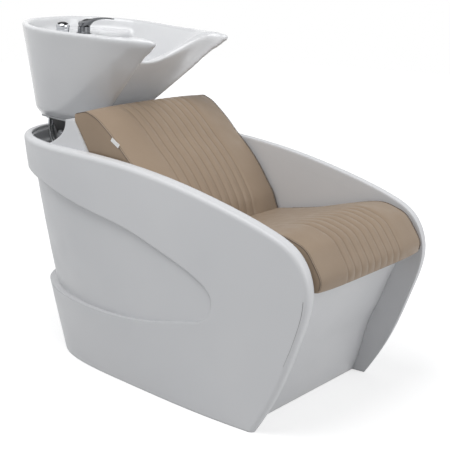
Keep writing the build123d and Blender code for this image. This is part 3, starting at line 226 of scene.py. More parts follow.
def add_node(finish, kind, values=(), **settings):
    """A node of one kind in a finish or in the surround, with its settings and input values."""
    node = finish.node_tree.nodes.new(kind)
    for key, value in settings.items():
        setattr(node, key, value)
    for key, value in dict(values).items():
        node.inputs[key].default_value = value
    return node


def wire(finish, out_socket, in_socket):
    """Joins an output to an input."""
    finish.node_tree.links.new(out_socket, in_socket)


def object_places(finish, stretch=(1.0, 1.0, 1.0)):
    """Object coordinates through a Mapping node that may stretch a pattern."""
    places = add_node(finish, "ShaderNodeTexCoord")
    mapping = add_node(finish, "ShaderNodeMapping", {"Scale": stretch})
    wire(finish, places.outputs["Object"], mapping.inputs["Vector"])
    return mapping.outputs["Vector"]


def noise(finish, where, scale, detail=3.0):
    """A noise pattern's strength, from 0 to 1."""
    node = add_node(finish, "ShaderNodeTexNoise",
                    {"Scale": scale, "Detail": detail, "Roughness": 0.55})
    wire(finish, where, node.inputs["Vector"])
    return node.outputs["Fac"]


def colours(finish, strength, *stops):
    """A colour ramp from stops of (place, colour)."""
    node = add_node(finish, "ShaderNodeValToRGB")
    ramp = node.color_ramp
    while len(ramp.elements) < len(stops):
        ramp.elements.new(0.5)
    for element, (place, colour) in zip(ramp.elements, stops):
        element.position = place
        element.color = (*colour, 1.0)
    wire(finish, strength, node.inputs["Fac"])
    return node.outputs["Color"]


def ranged(finish, strength, low, high, from_low=0.3, from_high=0.7):
    """A strength stretched to a range of values."""
    node = add_node(finish, "ShaderNodeMapRange",
                    {"From Min": from_low, "From Max": from_high, "To Min": low, "To Max": high})
    wire(finish, strength, node.inputs["Value"])
    return node.outputs["Result"]


def bumped(finish, surface, strength, height, distance, under=None):
    """Raises a pattern as a bump, over another normal where one is given."""
    node = add_node(finish, "ShaderNodeBump", {"Strength": strength, "Distance": distance})
    wire(finish, height, node.inputs["Height"])
    if under is not None:
        wire(finish, under, node.inputs["Normal"])
    wire(finish, node.outputs["Normal"], surface.inputs["Normal"])


def mottled(finish, surface, where, scale, *stops):
    """Gives the base colour a slow, faint change over the surface."""
    wire(finish, colours(finish, noise(finish, where, scale, 2.0), *stops),
         surface.inputs["Base Color"])


def dressed(name, colour, roughness, metallic=0.0, *, tones, smears=None, grain=None,
            stretch=(1.0, 1.0, 1.0)):
    """A finish by the common recipe: tones is (scale, dark, pale), smears is (scale, lowest and
    highest roughness), and grain is (strength, scale, detail, height)."""
    finish, surface = new_finish(name, colour, roughness, metallic)
    where = object_places(finish, stretch)
    scale, dark, pale = tones
    mottled(finish, surface, where, scale, dark, pale)
    if smears is not None:
        wire(finish, ranged(finish, noise(finish, where, smears[0]), *smears[1:]),
             surface.inputs["Roughness"])
    if grain is not None:
        strength, grain_scale, detail, height = grain
        bumped(finish, surface, strength, noise(finish, where, grain_scale, detail), height)
    print("finish", name)
    return finish


# %% [markdown]
# ## Pearl gelcoat of the body
# The body is moulded in one piece and sprayed with a pale pearl gelcoat. It is almost one colour,
# a little cooler in places, with a faint orange peel and a thin clear coat over it.

# %% Gelcoat
gelcoat, gelcoat_surface = new_finish("pearl_gelcoat", (0.63, 0.635, 0.65), 0.44)
gelcoat_where = object_places(gelcoat)
mottled(gelcoat, gelcoat_surface, gelcoat_where, 2.2,
        (0.30, (0.612, 0.618, 0.634)), (0.70, (0.645, 0.648, 0.660)))
wire(gelcoat, ranged(gelcoat, noise(gelcoat, gelcoat_where, 14.0), 0.38, 0.50),
     gelcoat_surface.inputs["Roughness"])
rolled_edge = add_node(gelcoat, "ShaderNodeBevel", {"Radius": 0.009}, samples=8)
bumped(gelcoat, gelcoat_surface, 0.015, noise(gelcoat, gelcoat_where, 120.0, 1.0), 0.0006,
       rolled_edge.outputs["Normal"])
gelcoat_surface.inputs["Coat Weight"].default_value = 0.10
gelcoat_surface.inputs["Coat Roughness"].default_value = 0.30
print("finish", gelcoat.name)

# %% [markdown]
# ## Glaze of the basin
# The basin is harder and wetter looking than the body: a white glaze, nearly flat, that mirrors
# the studio softly. A slow ripple in the glaze keeps its reflections from looking machined.

# %% Glaze
glaze = dressed("white_glaze", (0.66, 0.665, 0.68), 0.18,
                tones=(3.0, (0.30, (0.642, 0.648, 0.662)), (0.70, (0.676, 0.680, 0.690))),
                smears=(20.0, 0.12, 0.20), grain=(0.06, 34.0, 1.0, 0.0012))
glaze_surface = glaze.node_tree.nodes["Principled BSDF"]
glaze_surface.inputs["Coat Weight"].default_value = 0.25
glaze_surface.inputs["Coat Roughness"].default_value = 0.08

# %% [markdown]
# ## Metals
# Chrome gets only faint smears. The mixer's chrome is darker than the hand shower's: that dark
# tone is painted reflection, the studio's dark side painted into the metal. The post's powder coat
# has a fine sandy skin, and the hidden steel and brass a dull, slightly spotted face, as they come
# from the
# workshop. One recipe serves them all: tones, smears and a grain.

# %% Metals
chrome = dressed("polished_chrome", (0.60, 0.61, 0.63), 0.06, 1.0,
                 tones=(30.0, (0.25, (0.56, 0.57, 0.59)), (0.75, (0.64, 0.65, 0.67))),
                 smears=(70.0, 0.04, 0.11))
# Painted reflection: the mixer's chrome has a dark base colour that stands for the dark studio it
# mirrors.
chrome_painted_dark_reflection = dressed("mixer_chrome_painted_dark_reflection", (0.24, 0.245, 0.255), 0.07, 1.0,
                      tones=(30.0, (0.25, (0.21, 0.215, 0.225)), (0.75, (0.27, 0.275, 0.285))),
                      smears=(70.0, 0.05, 0.12))
powder_coat = dressed("black_powder_coat", (0.018, 0.018, 0.019), 0.48,
                      tones=(24.0, (0.3, (0.014, 0.014, 0.015)), (0.7, (0.026, 0.026, 0.027))),
                      smears=(45.0, 0.42, 0.58), grain=(0.25, 1400.0, 2.0, 0.0004))
plain_steel = dressed("zinc_steel", (0.52, 0.53, 0.55), 0.36, 0.95,
                      tones=(42.0, (0.3, (0.40, 0.41, 0.43)), (0.7, (0.60, 0.61, 0.63))),
                      smears=(120.0, 0.26, 0.48), grain=(0.12, 500.0, 3.0, 0.0003))
brass = dressed("turned_brass", (0.62, 0.46, 0.20), 0.30, 1.0,
                tones=(50.0, (0.3, (0.50, 0.36, 0.15)), (0.7, (0.68, 0.52, 0.25))),
                smears=(90.0, 0.24, 0.42), grain=(0.10, 300.0, 3.0, 0.0002),
                stretch=(1.0, 1.0, 14.0))

# %% [markdown]
# The carriers are black too, but turn white above a height. That is a guess: it keeps the ends of
# their flanges from showing dark under the basin's rear edge.

# %% Carrier coat
carrier_coat, carrier_surface = new_finish("carrier_coat", (0.05, 0.05, 0.05), 0.45)
carrier_where = object_places(carrier_coat)
carrier_height = add_node(carrier_coat, "ShaderNodeSeparateXYZ")
wire(carrier_coat, carrier_where, carrier_height.inputs["Vector"])
carrier_tone = add_node(carrier_coat, "ShaderNodeMix", data_type="RGBA")
wire(carrier_coat, ranged(carrier_coat, carrier_height.outputs["Z"], 0.0, 1.0, 0.737, 0.742),
     carrier_tone.inputs["Factor"])
carrier_fleck = noise(carrier_coat, carrier_where, 24.0)
wire(carrier_coat, colours(carrier_coat, carrier_fleck, (0.3, (0.014, 0.014, 0.015)),
                           (0.7, (0.026, 0.026, 0.027))), carrier_tone.inputs["A"])
wire(carrier_coat, colours(carrier_coat, carrier_fleck, (0.3, (0.60, 0.61, 0.62)),
                           (0.7, (0.66, 0.67, 0.68))), carrier_tone.inputs["B"])
wire(carrier_coat, carrier_tone.outputs["Result"], carrier_surface.inputs["Base Color"])
bumped(carrier_coat, carrier_surface, 0.2, noise(carrier_coat, carrier_where, 1400.0, 2.0), 0.0004)
print("finish", carrier_coat.name)

# %% [markdown]
# ## Hidden boards, plastic and rubber
# The cushions are screwed to plywood boards, so these get long grain. Black nylon is slightly
# glossy with a spark eroded texture, and rubber is matt and a little dusty.

# %% Boards, nylon and rubber
plywood = dressed("birch_plywood", (0.58, 0.42, 0.25), 0.6,
                  tones=(12.0, (0.25, (0.46, 0.32, 0.18)), (0.75, (0.66, 0.50, 0.31))),
                  grain=(0.2, 60.0, 3.0, 0.0005), stretch=(1.0, 9.0, 9.0))
nylon = dressed("black_nylon", (0.022, 0.022, 0.023), 0.42,
                tones=(40.0, (0.3, (0.018, 0.018, 0.019)), (0.7, (0.030, 0.030, 0.031))),
                grain=(0.2, 1800.0, 2.0, 0.0003))
rubber = dressed("dull_rubber", (0.035, 0.034, 0.033), 0.75,
                 tones=(60.0, (0.3, (0.028, 0.027, 0.026)), (0.7, (0.055, 0.053, 0.050))),
                 grain=(0.15, 700.0, 3.0, 0.0003))

# %% [markdown]
# ## Leatherette
# The covers are a taupe leatherette with a fine pebble grain. A cell pattern about a millimetre
# across gives the pebbles, a second slow noise changes the colour as handling does, and a value
# stored on the mesh paints shade into the sewn lines, where the cover is pulled in and shade
# falls.

# %% Leatherette
leather, leather_surface = new_finish("taupe_leatherette", (0.37, 0.285, 0.215), 0.5)
leather_where = object_places(leather)
pebbles = add_node(leather, "ShaderNodeTexVoronoi", {"Scale": 620.0, "Randomness": 0.9})
pebbles.feature = "DISTANCE_TO_EDGE"
wire(leather, leather_where, pebbles.inputs["Vector"])
leather_tone = colours(leather, noise(leather, leather_where, 5.0, 4.0),
                       (0.30, (0.276, 0.206, 0.146)), (0.70, (0.306, 0.232, 0.167)))
# Painted shade: the sewn lines are darkened as if shade fell in their folds.
sewn = add_node(leather, "ShaderNodeAttribute", attribute_name="painted_fold_shade")
fold_shade_darkening = add_node(leather, "ShaderNodeMix", data_type="RGBA", blend_type="MULTIPLY")
wire(leather, sewn.outputs["Fac"], fold_shade_darkening.inputs["Factor"])
wire(leather, leather_tone, fold_shade_darkening.inputs["A"])
fold_shade_darkening.inputs["B"].default_value = (0.52, 0.48, 0.45, 1.0)
wire(leather, fold_shade_darkening.outputs["Result"], leather_surface.inputs["Base Color"])
wire(leather, ranged(leather, noise(leather, leather_where, 30.0), 0.42, 0.56),
     leather_surface.inputs["Roughness"])
bumped(leather, leather_surface, 0.22, pebbles.outputs["Distance"], 0.0004)
leather_surface.inputs["Specular IOR Level"].default_value = 0.32
leather_surface.inputs["Sheen Weight"].default_value = 0.03
leather_surface.inputs["Sheen Roughness"].default_value = 0.5
print("finish", leather.name)

# %% [markdown]
# ## Woven tag
# The small tag in the side seam is white satin ribbon: a fine, slightly bent wave is its weave.

# %% Ribbon
ribbon, ribbon_surface = new_finish("satin_ribbon", (0.80, 0.80, 0.79), 0.55)
ribbon_where = object_places(ribbon)
ribbon_weave = add_node(ribbon, "ShaderNodeTexWave", {"Scale": 420.0, "Distortion": 0.6})
ribbon_weave.bands_direction = "Y"
wire(ribbon, ribbon_where, ribbon_weave.inputs["Vector"])
wire(ribbon, colours(ribbon, ribbon_weave.outputs["Fac"], (0.0, (0.70, 0.70, 0.69)),
                     (1.0, (0.86, 0.86, 0.85))), ribbon_surface.inputs["Base Color"])
bumped(ribbon, ribbon_surface, 0.2, ribbon_weave.outputs["Fac"], 0.0002)
ribbon_surface.inputs["Sheen Weight"].default_value = 0.2
print("finish", ribbon.name)

# %% [markdown]
# ## Braided hose cover
# The hoses are wrapped in a steel braid: two waves that cross on a slant, seen through their
# bump and through painted shade and highlight: darker where the weave is low, brighter on its
# crests.

# %% Braid
braid, braid_surface = new_finish("steel_braid", (0.45, 0.46, 0.48), 0.38, 0.9)
braid_where = object_places(braid)
braid_a = add_node(braid, "ShaderNodeTexWave", {"Scale": 260.0, "Distortion": 0.0})
braid_a.bands_direction = "DIAGONAL"
wire(braid, braid_where, braid_a.inputs["Vector"])
braid_b = add_node(braid, "ShaderNodeTexWave", {"Scale": 260.0, "Distortion": 0.0})
braid_b.bands_direction = "DIAGONAL"
wire(braid, object_places(braid, (-1.0, -1.0, 1.0)), braid_b.inputs["Vector"])
braid_cross = add_node(braid, "ShaderNodeMath", operation="MULTIPLY")
wire(braid, braid_a.outputs["Fac"], braid_cross.inputs[0])
wire(braid, braid_b.outputs["Fac"], braid_cross.inputs[1])
# Painted shade and highlight: the braid is darker where the weave is low and brighter on its
# crests.
wire(braid, colours(braid, braid_cross.outputs[0], (0.0, (0.26, 0.27, 0.28)),
                    (0.8, (0.62, 0.63, 0.65))), braid_surface.inputs["Base Color"])
bumped(braid, braid_surface, 0.5, braid_cross.outputs[0], 0.0006)
print("finish", braid.name)

# %% [markdown]
# ## Dressing the solids
# The solids keep their shapes here and only change their material. The list goes by finish, so
# it is easy to see that nothing is left bare.

# %% Materials for the solids
finish_of = {
    gelcoat: ("outer_shell", "centre_liner"),
    glaze: ("basin",),
    chrome: ("shower_socket", "shower_head", "hose_ferrules", "waste_body", "waste_strainer"),
    chrome_painted_dark_reflection: ("tap_ring", "tap_base", "tap_cap", "tap_lever", "lever_pin"),
    powder_coat: ("front_crossbar", "mid_crossbar", "rear_crossbar", "left_rail", "right_rail",
                  "front_stand", "rear_stand", "basin_post", "pivot_saddle", "valve_bracket"),
    carrier_coat: ("right_carrier", "left_carrier"),
    plain_steel: ("seat_bolts", "back_bolts", "foot_nuts", "shell_screws", "carrier_bolts",
                  "pivot_pin", "pivot_nuts", "outlet_plate", "cold_hose", "hot_hose"),
    plywood: ("seat_board", "back_board"),
    nylon: ("tap_cartridge", "spray_plate", "waste_outlet", "socket_nut", "waste_nut",
            "cold_handle", "hot_handle"),
    rubber: ("levelling_feet", "friction_washers", "waste_seal"),
    brass: ("tap_nut", "cold_valve", "hot_valve"),
    ribbon: ("side_tag",),
    leather: ("seat_cushion", "back_cushion"),
}
bare = set(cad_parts)
for finish, node_names in finish_of.items():
    for node_name in node_names:
        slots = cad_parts[node_name].data.materials
        slots.clear()
        slots.append(finish)
        bare.discard(node_name)
for hose in hoses.values():
    hose.data.materials.clear()
    hose.data.materials.append(braid)
print("solids without a finish:", sorted(bare))

# %% [markdown]
# ## Cushions
# Each cushion is foam under a sewn cover. It starts as a block of even quads between its top
# profile and its flat underside: the columns of quads lie on the sewn channels, so that a seam
# can be held still there while air pressure swells the cover between the seams. The block starts
# a few millimetres small, because it swells.

# %% Side profiles and columns
cushion_half = 0.272
cushion_draw = 0.003
start_inset = 0.002
channel_pitch = 0.035
channel_lines = [(number - 4) * channel_pitch for number in range(9)]


def smooth_line(points, shares):
    """Points along a smooth curve through the given ones, at shares of its length."""
    points = np.array(points, float)
    ends = np.vstack([2 * points[0] - points[1], points, 2 * points[-1] - points[-2]])
    dense = []
    for a, b, c, d in zip(ends, ends[1:], ends[2:], ends[3:]):
        t = np.linspace(0, 1, 40, endpoint=False)[:, None]
        dense.append(0.5 * (2 * b + (c - a) * t + (2 * a - 5 * b + 4 * c - d) * t ** 2
                            + (3 * b - a - 3 * c + d) * t ** 3))
    dense = np.vstack(dense + [points[-1:]])
    return along(dense, shares)


def along(line, shares):
    """Points at shares of a line's length."""
    steps = np.r_[0, np.cumsum(np.linalg.norm(np.diff(line, axis=0), axis=1))]
    where = np.array(shares) * steps[-1]
    return np.stack([np.interp(where, steps, line[:, axis]) for axis in (0, 1)], axis=1)


def outward(line):
    """Unit normals of a side profile, to its left as it runs towards the back."""
    run = np.gradient(line, axis=0)
    run /= np.linalg.norm(run, axis=1)[:, None]
    return np.stack([-run[:, 1], run[:, 0]], axis=1)


def column_places():
    """Where the columns of quads stand across the width: close together beside each seam."""
    right = [0.0]
    for line in channel_lines[4:-1]:
        right += [line + step for step in (0.0028, 0.0085, 0.0145, 0.0205, 0.0265, 0.0322, 0.035)]
    edge = channel_lines[-1]
    right += [edge + 0.0028, edge + 0.0085]
    right += list(np.linspace(edge + 0.016, cushion_half - 0.006, 15))
    right += [cushion_half]
    return sorted({round(x, 5) for x in right} | {-round(x, 5) for x in right})


columns = column_places()
print("columns of quads", len(columns))

# %% [markdown]
# The block is numbered by column, row and layer. Only its outer numbers become vertices, so the
# six sides share their edges and the cover is closed.

# %% Cushion block
def cushion_block(name, top, under, crown_shares, row_count, layer_count, crown, edge_drop, lean,
                  settle=0.0):
    """A closed block of quads between a top profile and a flat underside."""
    rows = np.linspace(0, 1, row_count + 1)
    top_line = smooth_line(top, rows)
    under_line = along(np.array(under, float), rows)
    share_of_crown = np.interp(rows, np.linspace(0, 1, len(crown_shares)), crown_shares)
    normals = outward(top_line)
    numbers, vertices = {}, []
    last = (len(columns) - 1, row_count, layer_count)
    for i, x in enumerate(columns):
        across = abs(x) / cushion_half
        settled = settle * max(0.0, x / cushion_half)
        swell = crown * (1 - across ** 5) - edge_drop * across ** 4 - start_inset - settled
        upper = top_line + normals * (swell * share_of_crown)[:, None]
        for j, row in enumerate(rows):
            waist = 1 - cushion_draw * math.sin(math.pi * row) / cushion_half
            for k in range(layer_count + 1):
                if 0 < i < last[0] and 0 < j < last[1] and 0 < k < last[2]:
                    continue
                share = k / layer_count
                y, z = under_line[j] * (1 - share) + upper[j] * share
                numbers[i, j, k] = len(vertices)
                narrow = waist - lean / cushion_half * share ** 2.2
                vertices.append((x * narrow, y, z))
    faces = []
    for i in range(last[0]):
        for j in range(last[1]):
            faces.append([(i, j, 0), (i, j + 1, 0), (i + 1, j + 1, 0), (i + 1, j, 0)])
            faces.append([(i, j, last[2]), (i + 1, j, last[2]), (i + 1, j + 1, last[2]),
                          (i, j + 1, last[2])])
    for i in range(last[0]):
        for k in range(last[2]):
            faces.append([(i, 0, k), (i + 1, 0, k), (i + 1, 0, k + 1), (i, 0, k + 1)])
            faces.append([(i, last[1], k), (i, last[1], k + 1), (i + 1, last[1], k + 1),
                          (i + 1, last[1], k)])
    for j in range(last[1]):
        for k in range(last[2]):
            faces.append([(0, j, k), (0, j, k + 1), (0, j + 1, k + 1), (0, j + 1, k)])
            faces.append([(last[0], j, k), (last[0], j + 1, k), (last[0], j + 1, k + 1),
                          (last[0], j, k + 1)])
    mesh = bpy.data.meshes.new(name)
    mesh.from_pydata(vertices, [], [[numbers[corner] for corner in face] for face in faces])
    mesh.update()
    block = bpy.data.objects.new(name, mesh)
    scene.collection.objects.link(block)
    face_outwards(block)
    print(name, "vertices", len(mesh.vertices), "faces", len(mesh.polygons))
    return block, numbers, last


# %% [markdown]
# Swelling is a short cloth simulation: the underside, the channels and the side seams are
# pinned, pressure fills the cover, and gravity is off because the foam carries itself. How far
# each point may move is capped, less at the walls, where the body leaves little room.

# %% Swelling
def seam_share(number, last, sewn_rows):
    """How firmly a point of the block is held: 1 on a seam, 0 on a free panel."""
    i, j, k = number
    if k == 0:
        return 1.0
    if i in (0, last[0]) and (k == last[2] or k < last[2] * 0.4):
        return 1.0
    if j in (0, last[1]):
        return 1.0
    on_channel = any(abs(columns[i] - line) < 1e-4 for line in channel_lines)
    if k == last[2] and on_channel and sewn_rows[0] <= j / last[1] <= sewn_rows[1]:
        return 1.0
    return 0.0


def swell_cover(block, numbers, last, sewn_rows, top_cap, side_cap):
    """Swells the cover between its seams and keeps the result in the mesh."""
    group = block.vertex_groups.new(name="held_seams")
    held = [index for number, index in numbers.items()
            if seam_share(number, last, sewn_rows) > 0.5]
    group.add(held, 1.0, "REPLACE")
    start = np.array([vertex.co for vertex in block.data.vertices])
    cloth = block.modifiers.new("cover", "CLOTH")
    cloth.settings.quality = 4
    cloth.settings.mass = 0.25
    cloth.settings.tension_stiffness = 12.0
    cloth.settings.compression_stiffness = 12.0
    cloth.settings.shear_stiffness = 6.0
    cloth.settings.bending_stiffness = 0.8
    cloth.settings.use_pressure = True
    cloth.settings.uniform_pressure_force = 4.0
    cloth.settings.vertex_group_mass = "held_seams"
    cloth.settings.effector_weights.gravity = 0.0
    cloth.collision_settings.use_collision = False
    cloth.point_cache.frame_start = 1
    cloth.point_cache.frame_end = 20
    for moment in range(1, cloth.point_cache.frame_end + 1):
        scene.frame_set(moment)
    depsgraph = bpy.context.evaluated_depsgraph_get()
    swollen = block.evaluated_get(depsgraph).to_mesh()
    moved = np.array([vertex.co for vertex in swollen.vertices]) - start
    block.evaluated_get(depsgraph).to_mesh_clear()
    block.modifiers.remove(cloth)
    scene.frame_set(1)
    caps = np.full(len(start), side_cap)
    for (i, j, k), index in numbers.items():
        if k == last[2]:
            caps[index] = top_cap
    size = np.linalg.norm(moved, axis=1)
    keep = caps * np.tanh(size / caps) / np.maximum(size, 1e-9)
    places = start + moved * keep[:, None]
    block.data.vertices.foreach_set("co", places.ravel())
    block.data.update()
    print(block.name, "swelled by up to", round(float((size * keep).max()) * 1000, 1), "mm")


# %% [markdown]
# The painted shade of the sewn lines is stored on the mesh as a value from 0 to 1. One level of
# subdivision then rounds the cover, and the leatherette reads the value to paint shade into its
# stitched folds.

# %% Seams and rounding
# How dark the painted shade on the sewn lines is.
fold_shade_strength = 0.42
fold_reach = 0.016
fold_width = 0.0065
fade_in, fade_out = 20, 7


def store_fold_shade(block, numbers, last, sewn_rows):
    """Stores the painted shade of each point on a sewn line, fading out where the channels end."""
    values = np.zeros(len(block.data.vertices), np.float32)
    for (i, j, k), index in numbers.items():
        fade = min(1.0, max(0.0, (sewn_rows[1] - j / last[1]) * fade_out))
        if k == last[2] and any(abs(columns[i] - x) < 1e-4 for x in channel_lines):
            values[index] = fold_shade_strength * fade
    attribute = block.data.attributes.new("painted_fold_shade", "FLOAT", "POINT")
    attribute.data.foreach_set("value", values)


def round_off(block):
    """One level of subdivision, applied, with smooth shading."""
    shape_by(block, "SUBSURF", levels=1, render_levels=1)
    bpy.ops.object.shade_smooth()


def sew_in_channels(block, numbers, last, sewn_rows, depth):
    """Pulls the sewn columns in, so that the folds show as they do on the real cover."""
    block.data.update()
    for (i, j, k), index in numbers.items():
        row = j / last[1]
        fade = min(1.0, max(0.0, (row - sewn_rows[0]) * fade_in),
                   max(0.0, (sewn_rows[1] - row) * fade_out))
        near = min(abs(columns[i] - line) for line in channel_lines)
        if k == last[2] and near < fold_reach:
            vertex = block.data.vertices[index]
            vertex.co -= vertex.normal * depth * fade * math.exp(-(near / fold_width) ** 2)


# %% [markdown]
# Where the top panel meets the side boxing, the real cover has a joining seam with a line of
# topstitching beside it. Both are read off the block before it is rounded: the seam is its edge,
# and the stitching runs one column further in.

# %% Seam lines
def seam_lines(block, numbers, last):
    """The joining seams and the topstitching beside them, as lists of points."""
    lines = []
    for side in (0, last[0]):
        inner = 1 if side == 0 else last[0] - 1
        vertices = block.data.vertices
        seam = [vertices[numbers[side, j, last[2]]].co.copy() for j in range(last[1] + 1)]
        beside = [vertices[numbers[inner, j, last[2]]].co.copy() for j in range(last[1] + 1)]
        lines.append(("seam", seam))
        lines.append(("stitch", [a.lerp(b, 0.9) for a, b in zip(seam, beside)]))
    return lines


# %% [markdown]
# ### Seat cushion
# It runs from its lower front edge over a high nose and falls back to the crease. The channels
# start at the lower edge and fade out on the flat of the seat.

# %% Seat
seat_top = ((-0.6213, 0.4181), (-0.6257, 0.4512), (-0.6024, 0.4930), (-0.5786, 0.5238),
            (-0.5446, 0.5404), (-0.4944, 0.5510), (-0.4190, 0.5386), (-0.2934, 0.5069),
            (-0.1226, 0.4770))
seat_under = ((-0.5592, 0.4181), (-0.5472, 0.4103), (-0.1471, 0.3811))
seat_crown = (1.0, 1.0, 1.0, 1.0, 1.0, 1.0, 1.0, 0.9, 0.1)
seat_sewn = (0.0, 0.50)
seat, seat_numbers, seat_last = cushion_block("seat_pad", seat_top, seat_under, seat_crown, 84, 12,
                                              crown=0.008, edge_drop=0.0, lean=0.015)
swell_cover(seat, seat_numbers, seat_last, seat_sewn, 0.0075, 0.003)
sew_in_channels(seat, seat_numbers, seat_last, seat_sewn, 0.0044)
store_fold_shade(seat, seat_numbers, seat_last, seat_sewn)
seat_seams = seam_lines(seat, seat_numbers, seat_last)
round_off(seat)
seat.data.materials.append(leather)
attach(seat, "base")
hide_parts("seat_cushion")

# %% [markdown]
# ### Back cushion
# It stands in the crease behind the seat and rolls over the top of the rest, where the neck goes
# into the basin. Its channels run its whole height.

# %% Back
back_top = ((-0.1440, 0.3818), (-0.1207, 0.4800), (-0.1082, 0.5390), (-0.0670, 0.6090),
            (-0.0190, 0.6670), (0.0290, 0.7130), (0.0780, 0.7620), (0.1300, 0.8015),
            (0.1776, 0.8165), (0.2090, 0.8080), (0.2300, 0.7980))
back_under = ((-0.0040, 0.3908), (0.2240, 0.7785))
back_crown = (0.0, 0.0, 0.6, 1.0, 1.0, 1.0, 1.0, 1.0, 1.0, 0.7, 0.0)
back_sewn = (0.12, 0.97)
back, back_numbers, back_last = cushion_block("back_pad", back_top, back_under, back_crown, 88, 14,
                                              crown=0.0, edge_drop=0.014, lean=0.004,
                                              settle=0.007)
swell_cover(back, back_numbers, back_last, back_sewn, 0.004, 0.003)
sew_in_channels(back, back_numbers, back_last, back_sewn, 0.0042)
store_fold_shade(back, back_numbers, back_last, back_sewn)
back_seams = seam_lines(back, back_numbers, back_last)
round_off(back)
back.data.materials.append(leather)
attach(back, "base")
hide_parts("back_cushion")

# %% [markdown]
# ### Joining seams
# Each seam is a fine dark cord sunk half into the fold, and the topstitching is a finer one that
# lies on the cover. They make the crisp line that runs along the cushions' edges: the cords' dark
# colour is partly the stitching and partly painted shade in the fold.

# %% Seam cords
seam_radius = 0.0009
stitch_share = 0.45


def seam_cord(name, lines, skip_rows):
    """One mesh of all the seam and stitch lines of a cushion."""
    cord_curve = new_curve(name, 3)
    for kind, points in lines:
        points = points[skip_rows[0]:len(points) - skip_rows[1]]
        share = 1.0 if kind == "seam" else stitch_share
        add_line(cord_curve, points, [share] * len(points))
    thicken(cord_curve, seam_radius, 2)
    cord = as_mesh(name, cord_curve)
    cord.data.materials.clear()
    cord.data.materials.append(cord_thread_and_shade)
    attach(cord, "base")
    print(name, "vertices", len(cord.data.vertices))


# The cords' dark colour is partly the stitching and partly painted shade in the seam fold.
cord_thread_and_shade = dressed("seam_thread_and_fold_shade", (0.11, 0.082, 0.062), 0.7,
                 tones=(90.0, (0.3, (0.09, 0.068, 0.05)), (0.7, (0.135, 0.10, 0.078))),
                 grain=(0.3, 1500.0, 1.0, 0.0003))
seam_cord("seat_seams", seat_seams, (1, 8))
seam_cord("back_seams", back_seams, (8, 1))

# %% [markdown]
# ## Well tray
# Behind the fin a shallow tray in the same gelcoat closes the body, with an opening for the post
# and the hoses. How the real well ends below isn't seen, so the tray is a guess. It starts as a
# circle of edges laid along the collar's inner wall, which is extruded ring by ring: down the
# wall, round a soft corner, over the floor and down at the hole.

# %% Tray outline
wall_half_width = 0.2755
wall_depth = 0.3665
wall_middle_y = 0.2363
hole_half_width = 0.130
hole_front_y, hole_back_y = 0.378, 0.590
post_y = 0.48


def wall_outline():
    """Points along the collar's inner wall and back along the fin, as (x, y)."""
    points = []
    for turn in np.linspace(math.radians(20.0), math.radians(160.0), 49):
        points.append((wall_half_width * math.cos(turn),
                       wall_middle_y + wall_depth * math.sin(turn)))
    left, right = points[-1], points[0]
    for share in np.linspace(0, 1, 25)[1:-1]:
        points.append((left[0] + (right[0] - left[0]) * share, left[1]))
    return points


def hole_outline(points):
    """The same run of points, drawn in to the opening round the post."""
    return [(max(-hole_half_width, min(hole_half_width, x * 0.75)),
             max(hole_front_y, min(hole_back_y, post_y + (y - post_y) * 0.97)))
            for x, y in points]


tray_wall = wall_outline()
tray_hole = hole_outline(tray_wall)
tray_wall_thickness = 0.003
tray_rings = ((0.0, 0.696), (0.02, 0.684), (0.07, 0.669), (0.18, 0.660), (0.55, 0.657),
              (0.97, 0.655), (1.0, 0.650), (1.0, 0.620))
print("tray points", len(tray_wall))

# %% Tray
clear_selection()
bpy.ops.mesh.primitive_circle_add(vertices=len(tray_wall), radius=0.3, fill_type="NOTHING")
well_tray = bpy.context.object
well_tray.name = "well_tray"
for number, (share, height) in enumerate(tray_rings):
    if number > 0:
        bpy.ops.object.mode_set(mode="EDIT")
        bpy.ops.mesh.extrude_region_move(TRANSFORM_OT_translate={"value": (0, 0, -0.001)})
        bpy.ops.object.mode_set(mode="OBJECT")
    ring = [vertex for vertex in well_tray.data.vertices if vertex.select]
    for vertex, wall, hole in zip(ring, tray_wall, tray_hole):
        vertex.co = (wall[0] * (1 - share) + hole[0] * share,
                     wall[1] * (1 - share) + hole[1] * share, height)
face_outwards(well_tray)
upward = [polygon.normal.z for polygon in well_tray.data.polygons if abs(polygon.normal.z) > 0.9]
if sum(upward) < 0:
    well_tray.data.flip_normals()
shape_by(well_tray, "SOLIDIFY", thickness=tray_wall_thickness, offset=-1.0)
shape_by(well_tray, "SUBSURF", levels=1, render_levels=1)
bpy.ops.object.shade_smooth()
well_tray.data.materials.append(gelcoat)
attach(well_tray, "base")
print("tray", tuple(round(c, 3) for c in well_tray.dimensions))

# %% [markdown]
# ### Parting lines
# The two halves of the mould meet along the front edge of each arm, and leave a hair-thin line
# there that fades as it goes down. A dark thread, mostly sunk in the gelcoat, draws it.

# %% Parting lines
parting_points = ((-0.3061, -0.6072, 0.4060), (-0.3056, -0.6058, 0.3882),
                  (-0.3050, -0.6006, 0.3632), (-0.3041, -0.5920, 0.3347),
                  (-0.3034, -0.5828, 0.3084), (-0.3025, -0.5719, 0.2789),
                  (-0.3017, -0.5593, 0.2487), (-0.3009, -0.5450, 0.2178))
parting_radius = 0.0007
parting_fade = [1.0 - 0.6 * number / (len(parting_points) - 1)
                for number in range(len(parting_points))]
parting_curve = new_curve("parting_lines", 8)
for side in (1, -1):
    add_line(parting_curve, [(x * side, y, z) for x, y, z in parting_points], parting_fade)
thicken(parting_curve, parting_radius, 2)
parting_lines = as_mesh("parting_lines", parting_curve)
shadow_line = dressed("parting_shadow", (0.22, 0.22, 0.225), 0.6,
                      tones=(40.0, (0.3, (0.19, 0.19, 0.195)), (0.7, (0.26, 0.26, 0.265))))
parting_lines.data.materials.clear()
parting_lines.data.materials.append(shadow_line)
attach(parting_lines, "base")
print("parting lines", len(parting_lines.data.vertices), "vertices")

